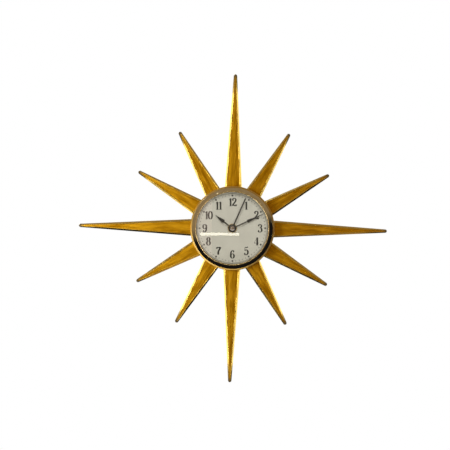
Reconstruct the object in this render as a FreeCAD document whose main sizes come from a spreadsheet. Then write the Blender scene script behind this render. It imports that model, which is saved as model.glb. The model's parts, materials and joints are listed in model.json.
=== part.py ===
import FreeCAD, Part
import math
import os
import re
import Sketcher

# Sunburst wall clock. Every piece is drawn in the dial frame: x to the right, y up, z forward from the
# wall, with the clock's axis on z. Its Placement then stands it up: +Z up, the front towards -Y and the
# wall on the plane y = 0, so that the origin is where the clock's axis meets the wall.

doc = FreeCAD.newDocument("sunburst_clock")
sizes = doc.addObject("Spreadsheet::Sheet", "Sizes")
places = doc.addObject("Spreadsheet::Sheet", "Places")
sheet_of = {}

DRIVING = {
    # sunburst
    "long_reach": 210.0,  # axis to the tip of a long ray
    "short_reach": 150.0,  # axis to the tip of a short ray
    "ray_root_gap": 0.72,  # between neighbouring rays at their roots
    "ray_tip_round": 2.35,
    "ray_thickness": 2.5,
    "flank_width": 2.0,  # sloping edge all round the ray's front
    "flank_drop": 1.6,
    "rim_width": 0.8,  # flat land between the flank and the sunk field
    "field_depth": 0.3,
    "field_point": 0.2,  # half width of the field at its narrow end
    "sunburst_turn": 1.1,  # degrees, how far the star is turned against the upright dial
    "overcut": 1.0,  # how far a cutting tool runs past the face it cuts
    "hub_thickness": 1.5,
    "hub_width": 9.0,  # ray length that lies on the hub
    "rivet_radius": 1.0,
    "rivet_head_radius": 1.6,
    "rivet_head_height": 0.8,
    "rivet_inset": 3.0,  # ray root to the inner rivet
    "rivet_spacing": 4.0,
    # wall side
    "spacer_depth": 5.0,
    "spacer_width": 8.0,
    "back_clearance": 0.85,  # movement corner to the opening it comes through
    "hanger_thickness": 1.5,
    "hanger_half_width": 17.0,
    "hanger_bottom": 21.0,
    "hanger_margin": 0.5,  # hanger top to the spacer's outer edge, measured on the axis
    "keyhole_radius": 4.5,
    "keyhole_bottom_centre": 28.0,
    "keyhole_rise": 8.0,
    "keyhole_slot_radius": 2.1,
    "hanger_screw_side": 12.0,
    "hanger_screw_radius": 1.3,
    "hanger_screw_head": 2.5,
    "hanger_screw_end": 0.3,  # screw tip to the spacer's front
    "case_screw_inset": 3.5,  # opening edge to the screws' circle
    "case_screw_radius": 1.5,
    "case_screw_head": 2.8,
    "case_screw_sunk": 0.4,  # wall to the screw head
    "case_screw_proud": 0.5,  # screw tip past its nut
    "case_nut_flats": 5.5,
    "case_nut_height": 2.4,
    # case, bezel and glass
    "case_margin": 1.0,  # hub edge to the case's side
    "case_wall": 0.8,
    "case_depth": 13.5,
    "flange_overhang": 0.6,
    "flange_thickness": 1.5,
    "flange_chamfer": 0.5,
    "skirt_depth": 4.0,
    "skirt_wall": 0.7,
    "slip_fit": 0.1,
    "side_inset": 2.1,  # flange edge to the bezel's side
    "shoulder_run": 4.2,  # how far the sloping shoulder comes in
    "shoulder_rise": 3.0,
    "side_lean": 0.3,
    "inside_lean": 1.1,
    "bezel_wall": 1.0,
    "lip_width": 1.8,  # shoulder to the clear opening
    "lip_height": 0.4,
    "lip_thickness": 0.5,
    "glass_gap": 0.5,  # cap to glass
    "glass_overlap": 0.6,
    "glass_thickness": 1.5,
    "gasket_thickness": 0.4,
    "gasket_lip": 0.2,  # how far it shows inside the clear opening
    "inner_ring_wall": 1.0,
    "inner_ring_foot": 0.8,
    "inner_ring_fillet": 0.5,  # extra width where the ring meets its foot
    "inner_ring_play": 0.3,
    "inner_ring_lean": 2.5,  # how far the ring narrows from glass to dial
    "dial_clearance": 1.0,
    "dial_thickness": 0.6,
    "dial_rise": 1.5,  # flange to dial
    "support_wall": 4.0,
    # hands
    "hand_thickness": 0.5,
    "hour_angle": 307.6,  # degrees clockwise from 12
    "hour_reach": 28.7,
    "hour_bulge_place": 16.3,
    "hour_bulge_radius": 2.4,
    "minute_angle": 65.0,
    "minute_reach": 45.0,
    "minute_bulge_place": 23.7,
    "minute_bulge_radius": 2.0,
    "hand_stem": 0.75,  # half width
    "hand_point": 0.3,  # half width
    "second_angle": 23.3,
    "second_reach": 43.6,
    "second_tail": 5.0,
    "second_half_width": 0.95,
    "second_point": 0.85,
    "second_thickness": 0.3,
    "cap_height": 0.6,
    "boss_radius": 5.6,
    "cap_radius": 3.2,
    "hour_hand_gap": 0.9,  # dial nut to hour hand
    "hand_gap": 0.7,
    # movement shell
    "gear_margin": 1.08,  # motion wheel to the battery bay's partition
    "movement_corner": 3.0,
    "movement_wall": 1.2,
    "movement_depth": 16.0,
    "cover_thickness": 1.4,
    "bay_play": 0.3,
    "bush_radius": 4.0,
    "bush_proud": 0.5,  # bush end past the nut
    "washer_radius": 6.2,
    "washer_thickness": 0.3,
    "nut_flats": 10.0,
    "nut_height": 1.8,
    "post_radius": 2.6,
    "post_neck_radius": 1.9,
    "post_inset": 5.0,
    "post_sink": 0.2,  # how far the lower posts run into the partition
    "post_top": 12.0,
    "shell_screw_radius": 0.8,
    "shell_screw_head": 1.7,
    "shell_screw_rise": 1.0,
    "shell_screw_length": 4.2,
    "battery_radius": 7.1,
    "battery_nub_radius": 2.7,
    "battery_nub_length": 1.0,
    "contact_thickness": 0.4,
    "contact_margin": 2.0,  # contact sheet to the ends of the bay
    "contact_rise": 1.0,  # contact sheet to the bay's roof and front
    "contact_play": 0.3,
    "spring_gap": 1.6,
    "spring_wire": 0.4,
    "spring_coil_radius": 4.2,
    # wheels: layers are depths behind the movement's front face
    "gear_thickness": 0.8,
    "pinion_thickness": 1.2,
    "hour_layer": 1.6,
    "motion_layer": 3.1,
    "centre_layer": 4.5,
    "plate_layer": 5.7,
    "third_layer": 6.7,
    "stator_layer": 7.0,
    "second_layer": 8.4,
    "intermediate_layer": 10.0,
    "bridge_layer": 11.4,
    "plate_thickness": 0.6,
    "stator_thickness": 1.0,
    "centre_module": 0.3,
    "second_module": 0.25,
    "rotor_module": 0.2,
    "motion_module": 0.35,
    "centre_teeth": 64,
    "third_pinion_teeth": 8,
    "third_teeth": 60,
    "second_pinion_teeth": 8,
    "second_teeth": 50,
    "intermediate_pinion_teeth": 10,
    "intermediate_teeth": 48,
    "rotor_teeth": 8,
    "cannon_teeth": 12,
    "motion_teeth": 36,
    "motion_pinion_teeth": 10,
    "hour_teeth": 40,
    "third_direction": 161.0,  # degrees anticlockwise from 3 o'clock
    "intermediate_direction": 60.0,
    "rotor_direction": 60.0,
    "motion_direction": -20.0,
    "setting_direction": 30.0,
    "running_fit": 0.05,
    "end_play": 0.2,
    "seat_height": 0.4,  # pivot boss past the back of the hour wheel's layer
    "boss_wall": 0.8,
    "tube_proud": 0.2,  # hand tubes past the hands pressed on them
    "second_arbor": 0.5,
    "third_arbor": 0.4,
    "intermediate_arbor": 0.35,
    "rotor_arbor": 0.3,
    "cannon_bore": 0.58,
    "cannon_radius": 1.75,
    "cannon_arbor": 1.2,
    "cannon_passage": 2.4,  # holes in the middle plate that wheels pass through freely
    "third_passage": 2.0,
    "spring_radius": 2.4,
    "spring_thickness": 0.15,
    "hour_tube_radius": 2.6,
    "hour_tube_bore": 1.82,
    "stud_radius": 0.6,
    "setting_shaft_radius": 1.5,
    "knob_radius": 5.5,
    "knob_height": 2.7,
    "knob_ridges": 24,
    "knob_gap": 0.3,  # movement cover to knob
    "magnet_radius": 2.6,
    "magnet_thickness": 1.4,
    "air_gap": 0.4,
    "stator_reach": 4.6,
    "arm_half_width": 2.0,
    "left_arm_width": 2.0,
    "wheel_passage": 0.3,
    "leg_side": 15.5,
    "leg_half_width": 2.0,
    "coil_gap": 2.0,
    "coil_half_length": 12.0,
    "coil_radius": 3.9,
    "coil_core_half": 1.0,
    "coil_tube_radius": 1.8,
    "flange_radius": 4.4,
    "flange_width": 0.8,
    "board_gap": 1.3,  # setting shaft to board
    "board_bottom": -4.0,
    "board_top": 18.0,
    "board_thickness": 1.0,
    "chip_radius": 2.2,
    "chip_height": 1.0,
    "crystal_radius": 1.0,
    "crystal_length": 6.0,
    "chip_margin": 1.0,
}

DERIVED = {
    "bay_height": "2 * battery_radius + bay_play",
    "motion_distance": "(cannon_teeth + motion_teeth) / 2 * motion_module",
    "gear_drop": "motion_module * (motion_teeth / 2 + 1) - motion_distance * sin(motion_direction)"
                 " + gear_margin",
    "move_half": "gear_drop + 2 * movement_wall + bay_height",
    "room_half": "move_half - movement_wall",
    "partition_top": "-gear_drop",
    "bay_top": "partition_top - movement_wall",
    "move_corner_radius": "(move_half - movement_corner) * sqrt(2) + movement_corner",
    "back_opening_radius": "move_corner_radius + back_clearance",
    "spacer_outer": "back_opening_radius + spacer_width",
    "case_screw_circle": "back_opening_radius + case_screw_inset",
    "ray_root_radius": "spacer_outer",
    "ray_root_width": "2 * ray_root_radius * tan(15) - ray_root_gap",
    "hub_radius": "ray_root_radius + hub_width",
    "case_radius": "hub_radius + case_margin",
    "case_inner": "case_radius - case_wall",
    "flange_edge": "case_radius + flange_overhang",
    "skirt_outer": "case_inner - slip_fit",
    "skirt_inner": "skirt_outer - skirt_wall",
    "side_foot": "flange_edge - side_inset",
    "shoulder_top": "side_foot - side_lean - shoulder_run",
    "sight_radius": "shoulder_top - lip_width",
    "glass_radius": "sight_radius + glass_overlap",
    "seat_radius": "glass_radius + slip_fit",
    "hub_front": "spacer_depth + hub_thickness",
    "ray_front": "hub_front + ray_thickness",
    "ray_edge_front": "ray_front - flank_drop",
    "case_front": "ray_front + case_depth",
    "flange_front": "case_front + flange_thickness",
    "dial_front": "flange_front + dial_rise",
    "dial_back": "dial_front - dial_thickness",
    "nut_back": "dial_front + washer_thickness",
    "nut_front": "nut_back + nut_height",
    "bush_front": "nut_front + bush_proud",
    "hour_hand_back": "nut_front + hour_hand_gap",
    "hour_hand_front": "hour_hand_back + hand_thickness",
    "minute_hand_back": "hour_hand_front + hand_gap",
    "minute_hand_front": "minute_hand_back + hand_thickness",
    "second_hand_back": "minute_hand_front + hand_gap",
    "second_hand_front": "second_hand_back + second_thickness",
    "glass_back": "second_hand_front + cap_height + glass_gap",
    "glass_front": "glass_back + glass_thickness",
    "bezel_front": "glass_front + lip_thickness",
    "shoulder_front": "bezel_front - lip_height",
    "shoulder_back": "shoulder_front - shoulder_rise",
    "ring_front": "glass_back - gasket_thickness",
    "bezel_back": "ring_front - slip_fit",
    "dial_sight_radius": "sight_radius - inner_ring_lean",
    "dial_room": "side_foot - bezel_wall - inside_lean * dial_rise / (bezel_back - flange_front)",
    "dial_radius": "dial_room - dial_clearance",
    "hanger_top": "spacer_outer - hanger_margin",
    "hanger_screw_height": "back_opening_radius + spacer_width / 2 - hanger_margin",
    "move_back": "dial_back - movement_depth",
    "cover_front": "move_back + cover_thickness",
    "cavity_front": "dial_back - movement_wall",
    "battery_back": "cavity_front - 2 * battery_radius",
    "battery_middle": "cavity_front - battery_radius - running_fit",
    "battery_height": "bay_top - bay_height / 2",
    "post_side": "move_half - post_inset",
    "post_bottom": "partition_top + post_radius - post_sink",
    "plate_top": "post_top + post_radius",
    "coil_height": "plate_top + coil_gap + flange_radius",
    "plate_front": "dial_back - plate_layer",
    "plate_back": "plate_front - plate_thickness",
    "bridge_front": "dial_back - bridge_layer",
    "bridge_back": "bridge_front - plate_thickness",
    "stator_front": "dial_back - stator_layer",
    "stator_back": "stator_front - stator_thickness",
    "board_right": "room_half - contact_thickness - contact_play",
    "board_back": "plate_back - board_thickness",
    "third_distance": "(centre_teeth + third_pinion_teeth) / 2 * centre_module",
    "intermediate_distance": "(second_teeth + intermediate_pinion_teeth) / 2 * second_module",
    "rotor_distance": "(intermediate_teeth + rotor_teeth) / 2 * rotor_module",
    "third_module": "2 * third_distance / (third_teeth + second_pinion_teeth)",
    "hour_module": "2 * motion_distance / (hour_teeth + motion_pinion_teeth)",
    "third_x": "third_distance * cos(third_direction)",
    "third_y": "third_distance * sin(third_direction)",
    "intermediate_x": "intermediate_distance * cos(intermediate_direction)",
    "intermediate_y": "intermediate_distance * sin(intermediate_direction)",
    "rotor_x": "intermediate_x + rotor_distance * cos(rotor_direction)",
    "rotor_y": "intermediate_y + rotor_distance * sin(rotor_direction)",
    "motion_x": "motion_distance * cos(motion_direction)",
    "motion_y": "motion_distance * sin(motion_direction)",
    "setting_x": "motion_x + motion_distance * cos(setting_direction)",
    "setting_y": "motion_y + motion_distance * sin(setting_direction)",
    "board_left": "setting_x + setting_shaft_radius + board_gap",
}

sub_parts = []


def linked(formula, home=None):
    """Write a formula with each alias pointed at its sheet; names of the home sheet stay bare."""

    def point(match):
        word = match.group()
        if word not in sheet_of or sheet_of[word] == home:
            return word
        return f"{sheet_of[word]}.{word}"

    return re.sub(r"[a-z]\w*", point, formula)


def fill(sheet, rows):
    for number, (alias, content) in enumerate(rows.items(), start=1):
        text = str(content)
        if isinstance(content, str):
            text = "=" + linked(content, sheet.Name)
        sheet.set(f"A{number}", alias)
        sheet.set(f"B{number}", text)
        sheet.setAlias(f"B{number}", alias)
        sheet_of[alias] = sheet.Name


fill(sizes, DRIVING)
fill(places, DERIVED)
doc.recompute()


def value(formula):
    return float(sizes.evalExpression(linked(formula)))


def bind(piece, **formulas):
    for name, formula in formulas.items():
        piece.setExpression(name, linked(formula))
    return piece


def move(piece, x, y, z):
    for letter, formula in (("x", x), ("y", y), ("z", z)):
        piece.setExpression(f"Placement.Base.{letter}", linked(formula))
    return piece


def cylinder(name, radius, low, high, x="0", y="0"):
    piece = doc.addObject("Part::Cylinder", name)
    bind(piece, Radius=radius, Height=f"({high}) - ({low})")
    return move(piece, x, y, low)


def cone(name, low_radius, high_radius, low, high, x="0", y="0"):
    piece = doc.addObject("Part::Cone", name)
    bind(piece, Radius1=low_radius, Radius2=high_radius, Height=f"({high}) - ({low})")
    return move(piece, x, y, low)


def lying_cylinder(name, radius, left, right, y, z):
    """A cylinder along x."""
    piece = doc.addObject("Part::Cylinder", name)
    bind(piece, Radius=radius, Height=f"({right}) - ({left})")
    piece.Placement.Rotation = FreeCAD.Rotation(FreeCAD.Vector(0, 1, 0), 90)
    return move(piece, left, y, z)


def box(name, left, right, bottom, top, low, high):
    piece = doc.addObject("Part::Box", name)
    bind(
        piece,
        Length=f"({right}) - ({left})",
        Width=f"({top}) - ({bottom})",
        Height=f"({high}) - ({low})",
    )
    return move(piece, left, bottom, low)


def taper(name, half_base, base, half_tip, tip, low, high):
    """A flat bar along y that narrows from its base to its tip."""
    piece = doc.addObject("Part::Wedge", name)
    return bind(
        piece,
        Xmin=f"-({half_base})",
        Xmax=half_base,
        X2min=f"-({half_tip})",
        X2max=half_tip,
        Ymin=base,
        Ymax=tip,
        Zmin=low,
        Zmax=high,
        Z2min=low,
        Z2max=high,
    )


def hexagon(name, flats, low, high, x="0", y="0"):
    piece = doc.addObject("Part::Prism", name)
    piece.Polygon = 6
    bind(piece, Circumradius=f"({flats}) / 2 / cos(30)", Height=f"({high}) - ({low})")
    return move(piece, x, y, low)


def fuse(name, *pieces):
    piece = doc.addObject("Part::MultiFuse", name)
    piece.Shapes = list(pieces)
    return piece


def cut(name, base, *tools):
    piece = doc.addObject("Part::Cut", name)
    piece.Base = base
    piece.Tool = tools[0] if len(tools) == 1 else fuse(name + "_tools", *tools)
    return piece


def group(name, *pieces):
    piece = doc.addObject("Part::Compound", name)
    piece.Links = list(pieces)
    return piece


def tube(name, outer, inner, low, high, x="0", y="0"):
    shell = cylinder(name + "_outside", outer, low, high, x, y)
    bore = cylinder(name + "_bore", inner, f"{low} - overcut", f"{high} + overcut", x, y)
    return cut(name, shell, bore)


def rounded_box(name, half, corner, bottom, low, high):
    """A block from x = -half to half and from bottom to y = half, with rounded upright corners."""
    blocks = [
        box(name + "_wide", f"-({half})", half, f"{bottom} + {corner}", f"{half} - {corner}", low, high),
        box(name + "_tall", f"{corner} - ({half})", f"{half} - {corner}", bottom, half, low, high),
    ]
    for side in ("", "-"):
        for height in (f"{bottom} + {corner}", f"{half} - {corner}"):
            place = f"{side}({half} - {corner})"
            blocks.append(cylinder(name + "_corner", corner, low, high, place, height))
    return fuse(name, *blocks)


def turned(name, outline):
    """A body turned about z from an outline of (radius, height) formulas."""
    body = doc.addObject("PartDesign::Body", name)
    sketch = body.newObject("Sketcher::SketchObject", name + "_outline")
    plane = [f for f in body.Origin.OriginFeatures if f.Role == "XZ_Plane"][0]
    sketch.AttachmentSupport = [(plane, "")]
    sketch.MapMode = "FlatFace"
    corners = [(value(radius), value(height)) for radius, height in outline]
    count = len(corners)
    for number, (radius, height) in enumerate(corners):
        following = corners[(number + 1) % count]
        start = FreeCAD.Vector(radius, height, 0)
        end = FreeCAD.Vector(following[0], following[1], 0)
        sketch.addGeometry(Part.LineSegment(start, end), False)
    for number in range(count):
        sketch.addConstraint(Sketcher.Constraint("Coincident", number, 2, (number + 1) % count, 1))
    for number, (radius, height) in enumerate(outline):
        for kind, formula in (("DistanceX", radius), ("DistanceY", height)):
            sketch.addConstraint(Sketcher.Constraint(kind, number, 1, value(formula)))
            sketch.setExpression(f"Constraints[{sketch.ConstraintCount - 1}]", linked(formula))
    turning = body.newObject("PartDesign::Revolution", name + "_turning")
    turning.Profile = sketch
    turning.ReferenceAxis = (sketch, ["V_Axis"])
    turning.Angle = 360
    return body


def stand(label, piece, turn="0"):
    """Name a sub-part and stand it up to face -Y, turned clockwise about the clock's axis."""
    piece.Label = label
    piece.setExpression("Placement.Rotation", f"rotationy({linked(turn)}) * rotationx(90)")
    sub_parts.append(piece)
    return piece


def stand_shape(label, shape, x="0", y="0"):
    """Name a sub-part that is a shape drawn about its own axis, and stand it up at (x, y)."""
    piece = doc.addObject("Part::Feature", label)
    piece.Shape = shape
    piece.Label = label
    upright = FreeCAD.Rotation(FreeCAD.Vector(1, 0, 0), 90)
    piece.Placement = FreeCAD.Placement(FreeCAD.Vector(value(x), 0, value(y)), upright)
    sub_parts.append(piece)
    return piece


# sunburst

RAY_COUNT = 12
LONG_EVERY = 3


def bevelled_top(name, middle):
    """The ray's front layer, drawn in on every side from the edge to the front by the same slope."""
    sketch = doc.addObject("Sketcher::SketchObject", name + "_outline")
    half = value("ray_root_width / 2")
    tip = value("ray_tip_round")
    root = value("ray_root_radius")
    end = value(middle)
    corners = [
        FreeCAD.Vector(-half, root, 0),
        FreeCAD.Vector(half, root, 0),
        FreeCAD.Vector(tip, end, 0),
        FreeCAD.Vector(-tip, end, 0),
    ]
    circle = Part.Circle(FreeCAD.Vector(0, end, 0), FreeCAD.Vector(0, 0, 1), tip)
    sketch.addGeometry(Part.LineSegment(corners[0], corners[1]), False)
    sketch.addGeometry(Part.LineSegment(corners[1], corners[2]), False)
    sketch.addGeometry(Part.ArcOfCircle(circle, 0, math.pi), False)
    sketch.addGeometry(Part.LineSegment(corners[3], corners[0]), False)
    for number in range(len(corners)):
        sketch.addConstraint(Sketcher.Constraint("Coincident", number, 2, (number + 1) % len(corners), 1))
    places = [
        (0, 1, "-ray_root_width / 2", "ray_root_radius"),
        (1, 1, "ray_root_width / 2", "ray_root_radius"),
        (2, 1, "ray_tip_round", middle),
        (3, 1, "-ray_tip_round", middle),
    ]
    for line, point, x, y in places:
        for kind, formula in (("DistanceX", x), ("DistanceY", y)):
            sketch.addConstraint(Sketcher.Constraint(kind, line, point, value(formula)))
            sketch.setExpression(f"Constraints[{sketch.ConstraintCount - 1}]", linked(formula))
    sketch.addConstraint(Sketcher.Constraint("DistanceY", 2, 3, end))
    sketch.setExpression(f"Constraints[{sketch.ConstraintCount - 1}]", linked(middle))
    move(sketch, "0", "0", "ray_edge_front")
    top = doc.addObject("Part::Extrusion", name + "_bevelled")
    top.Base = sketch
    top.DirMode = "Custom"
    top.Dir = FreeCAD.Vector(0, 0, 1)
    top.Solid = True
    return bind(top, LengthFwd="flank_drop", TaperAngle="-atan(flank_width / flank_drop)")


def make_ray(number):
    reach = "long_reach" if number % LONG_EVERY == 0 else "short_reach"
    name = f"star_{number + 1}"
    middle = f"{reach} - ray_tip_round"
    blank = fuse(
        name + "_blank",
        taper(name + "_blade", "ray_root_width / 2", "ray_root_radius", "ray_tip_round", middle,
              "hub_front", "ray_edge_front"),
        cylinder(name + "_tip", "ray_tip_round", "hub_front", "ray_edge_front", "0", middle),
        bevelled_top(name, middle),
    )
    over = "ray_front + overcut"
    inset = "(flank_width + rim_width)"
    narrowing = f"((ray_root_width / 2 - ray_tip_round) / ({middle} - ray_root_radius))"
    field = taper(name + "_field", f"ray_root_width / 2 - {inset} * (1 + {narrowing})",
                  f"ray_root_radius + {inset}", "field_point",
                  f"{middle} - ({inset} + field_point - ray_tip_round) / {narrowing}",
                  "ray_front - field_depth", over)
    holes = [
        cylinder(name + "_hole", "rivet_radius", "hub_front - overcut", over, "0", rivet_place(step))
        for step in range(2)
    ]
    ray = cut(name, blank, field, *holes)
    stand(f"ray_{number + 1:02d}", ray, f"sunburst_turn + {360 // RAY_COUNT} * {number}")


def rivet_place(step):
    return f"(ray_root_radius + rivet_inset + {step} * rivet_spacing)"


def around(circle, angle):
    """The x and y of a place on a circle, from its angle clockwise from 12."""
    return f"{circle} * sin({angle})", f"{circle} * cos({angle})"


def make_rivets():
    rivets = []
    for number in range(RAY_COUNT):
        for step in range(2):
            angle = f"sunburst_turn + {360 // RAY_COUNT} * {number}"
            x, y = around(rivet_place(step), angle)
            shank = cylinder("rivet_shank", "rivet_radius", "spacer_depth", "ray_front - field_depth", x, y)
            head = cylinder("rivet_head", "rivet_head_radius", "spacer_depth - rivet_head_height",
                            "spacer_depth", x, y)
            rivets.append(fuse("rivet", shank, head))
    stand("ray_rivets", group("rivets", *rivets))
    return rivets


def make_hub(rivets, case_screws):
    plate = tube("hub", "hub_radius", "back_opening_radius", "spacer_depth", "hub_front")
    stand("hub_plate", cut("hub_drilled", plate, *rivets, case_screws))


# fasteners and wall side


def make_case_screws():
    """Four screws from the spacer's back to the nuts inside the case, between the rays' axes."""
    screws = []
    nuts = []
    for quarter in range(4):
        x, y = around("case_screw_circle", f"45 + 90 * {quarter}")
        head = cylinder("case_screw_head", "case_screw_head", "case_screw_sunk", "spacer_depth / 2", x, y)
        shank = cylinder("case_screw_shank", "case_screw_radius", "spacer_depth / 2",
                         "ray_front + case_wall + case_nut_height + case_screw_proud", x, y)
        screws.append(fuse("case_screw", head, shank))
        low = "ray_front + case_wall"
        nut = hexagon("case_nut_blank", "case_nut_flats", low, f"{low} + case_nut_height", x, y)
        hole = cylinder("case_nut_hole", "case_screw_radius", low, f"{low} + case_nut_height", x, y)
        nuts.append(cut("case_nut", nut, hole))
    bundle = group("case_screw_set", *screws)
    stand("case_screws", group("case_screws_standing", *screws))
    stand("case_nuts", group("case_nuts_standing", *nuts))
    return bundle


def make_hanger_screws():
    screws = []
    for side in ("-hanger_screw_side", "hanger_screw_side"):
        head = cone("hanger_screw_cone", "hanger_screw_head", "hanger_screw_radius", "0",
                    "hanger_screw_head - hanger_screw_radius", side, "hanger_screw_height")
        shank = cylinder("hanger_screw_shank", "hanger_screw_radius",
                         "hanger_screw_head - hanger_screw_radius",
                         "spacer_depth - hanger_screw_end", side, "hanger_screw_height")
        screws.append(fuse("hanger_screw", head, shank))
    bundle = group("hanger_screw_set", *screws)
    stand("hanger_screws", group("hanger_screws_standing", *screws))
    return bundle


def make_hanger(screws):
    plate = box("hanger_blank", "-hanger_half_width", "hanger_half_width", "hanger_bottom",
                "hanger_top", "0", "hanger_thickness")
    rim = cylinder("hanger_limit", "spacer_outer - hanger_margin", "-overcut",
                   "hanger_thickness + overcut")
    trimmed = doc.addObject("Part::Common", "hanger_trimmed")
    trimmed.Base = plate
    trimmed.Tool = rim
    top = "keyhole_bottom_centre + keyhole_rise"
    low = "-overcut"
    high = "hanger_thickness + overcut"
    entry = cylinder("keyhole_entry", "keyhole_radius", low, high, "0", "keyhole_bottom_centre")
    slot = box("keyhole_slot", "-keyhole_slot_radius", "keyhole_slot_radius", "keyhole_bottom_centre",
               top, low, high)
    end = cylinder("keyhole_end", "keyhole_slot_radius", low, high, "0", top)
    stand("hanger_plate", cut("hanger", trimmed, entry, slot, end, screws))


def make_spacer(case_screws, hanger_screws):
    ring = tube("spacer", "spacer_outer", "back_opening_radius", "0", "spacer_depth")
    recess = box("hanger_recess", "-hanger_half_width", "hanger_half_width", "hanger_bottom",
                 "spacer_outer + overcut", "-overcut", "hanger_thickness")
    pockets = []
    for quarter in range(4):
        x, y = around("case_screw_circle", f"45 + 90 * {quarter}")
        pockets.append(cylinder("screw_pocket", "case_screw_head + slip_fit", "-overcut",
                                "spacer_depth / 2", x, y))
    stand("wall_spacer", cut("spacer_finished", ring, recess, *pockets, case_screws, hanger_screws))


# case, bezel and glass


def make_case(case_screws):
    drum = turned("drum", [
        ("back_opening_radius", "ray_front"),
        ("case_radius", "ray_front"),
        ("case_radius", "case_front"),
        ("case_inner", "case_front"),
        ("case_inner", "ray_front + case_wall"),
        ("back_opening_radius", "ray_front + case_wall"),
    ])
    stand("case_drum", cut("drum_drilled", drum, case_screws))


def make_bezel():
    """A skirt inside the case, a flange on its edge, a side, a sloping shoulder and a lip."""
    stand("bezel", turned("bezel_turned", [
        ("skirt_inner", "case_front - skirt_depth"),
        ("skirt_outer", "case_front - skirt_depth"),
        ("skirt_outer", "case_front"),
        ("flange_edge", "case_front"),
        ("flange_edge", "flange_front - flange_chamfer"),
        ("flange_edge - flange_chamfer", "flange_front"),
        ("side_foot", "flange_front"),
        ("side_foot - side_lean", "shoulder_back"),
        ("shoulder_top", "shoulder_front"),
        ("shoulder_top - lip_height", "bezel_front"),
        ("sight_radius", "bezel_front"),
        ("sight_radius", "glass_front"),
        ("seat_radius", "glass_front"),
        ("seat_radius", "bezel_back"),
        ("side_foot - bezel_wall - inside_lean", "bezel_back"),
        ("side_foot - bezel_wall", "flange_front"),
        ("skirt_inner", "case_front"),
    ]))


def make_glass():
    lens = cylinder("lens", "glass_radius", "glass_back", "glass_front")
    stand("glass", group("lens_standing", lens))
    stand("glass_gasket", tube("gasket", "glass_radius", "sight_radius - gasket_lip", "ring_front",
                                "glass_back"))


def make_inner_ring():
    stand("inner_ring", turned("rehaut", [
        ("dial_sight_radius", "dial_front"),
        ("dial_radius - inner_ring_play", "dial_front"),
        ("dial_radius - inner_ring_play", "dial_front + inner_ring_foot"),
        ("dial_sight_radius + inner_ring_wall + inner_ring_fillet", "dial_front + inner_ring_foot"),
        ("glass_radius", "ring_front"),
        ("glass_radius - inner_ring_wall", "ring_front"),
    ]))


def make_dial():
    stand("dial", tube("face", "dial_radius", "bush_radius + running_fit", "dial_back", "dial_front"))
    outer = "min(skirt_inner; dial_room) - 2 * slip_fit"
    stand("dial_support", tube("support", outer, f"{outer} - support_wall", "ray_front + case_wall",
                               "dial_back"))
    stand("dial_washer", tube("washer", "washer_radius", "bush_radius + running_fit", "dial_front",
                              "nut_back"))
    nut = hexagon("nut_blank", "nut_flats", "nut_back", "nut_front")
    hole = cylinder("nut_hole", "bush_radius", "nut_back - overcut", "nut_front + overcut")
    stand("dial_nut", cut("nut", nut, hole))


# hands


def make_spade_hand(label, kind, tube_radius, boss):
    """A spade hand: boss, narrow stem, round bulge and long point, pressed on its tube."""
    low = f"{kind}_hand_back"
    high = f"{kind}_hand_front"
    bulge = f"{kind}_bulge_place"
    radius = f"{kind}_bulge_radius"
    hand = fuse(
        kind + "_blank",
        cylinder(kind + "_boss", boss, low, high),
        taper(kind + "_stem", "hand_stem", "0", "hand_stem", bulge, low, high),
        cylinder(kind + "_bulge", radius, low, high, "0", bulge),
        taper(kind + "_blade", f"{radius} * 0.97", f"{bulge} + {radius} * 0.22", "hand_point",
              f"{kind}_reach", low, high),
    )
    bore = cylinder(kind + "_bore", tube_radius, f"{low} - overcut", f"{high} + overcut")
    stand(label, cut(kind + "_cut", hand, bore), f"{kind}_angle")


def make_second_hand():
    low = "second_hand_back"
    high = "second_hand_front"
    hand = fuse(
        "sweep_blank",
        cylinder("sweep_boss", "second_arbor * 4", f"{low} - hand_gap / 2", high),
        taper("sweep_blade", "second_half_width", "0", "second_point", "second_reach", low, high),
        box("sweep_tail", "-second_half_width", "second_half_width", "-second_tail", "0", low, high),
    )
    bore = cylinder("sweep_bore", "second_arbor", f"{low} - overcut", f"{high} + overcut")
    stand("second_hand", cut("sweep", hand, bore), "second_angle")
    stand("second_hand_cap", turned("cap", [
        ("0", high),
        ("cap_radius", high),
        ("cap_radius", f"{high} + cap_height * 0.35"),
        ("cap_radius * 0.8", f"{high} + cap_height * 0.7"),
        ("cap_radius * 0.4", f"{high} + cap_height * 0.92"),
        ("0", f"{high} + cap_height"),
    ]))


# movement shell and plates


def depth(layer, extra="0"):
    """The height in the dial frame of a layer that is measured back from the movement's face."""
    return f"(dial_back - {layer} - ({extra}))"


def posts():
    return [
        ("-post_side", "post_bottom"),
        ("post_side", "post_bottom"),
        ("-post_side", "post_top"),
        ("post_side", "post_top"),
    ]


def make_shell_screws():
    screws = []
    for x, y in posts():
        head = cylinder("shell_screw_head", "shell_screw_head", "bridge_back - shell_screw_rise",
                        "bridge_back", x, y)
        shank = cylinder("shell_screw_shank", "shell_screw_radius", "bridge_back",
                         "bridge_back + shell_screw_length", x, y)
        screws.append(fuse("shell_screw", head, shank))
    bundle = group("shell_screw_set", *screws)
    stand("movement_screws", group("shell_screws_standing", *screws))
    return bundle


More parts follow.
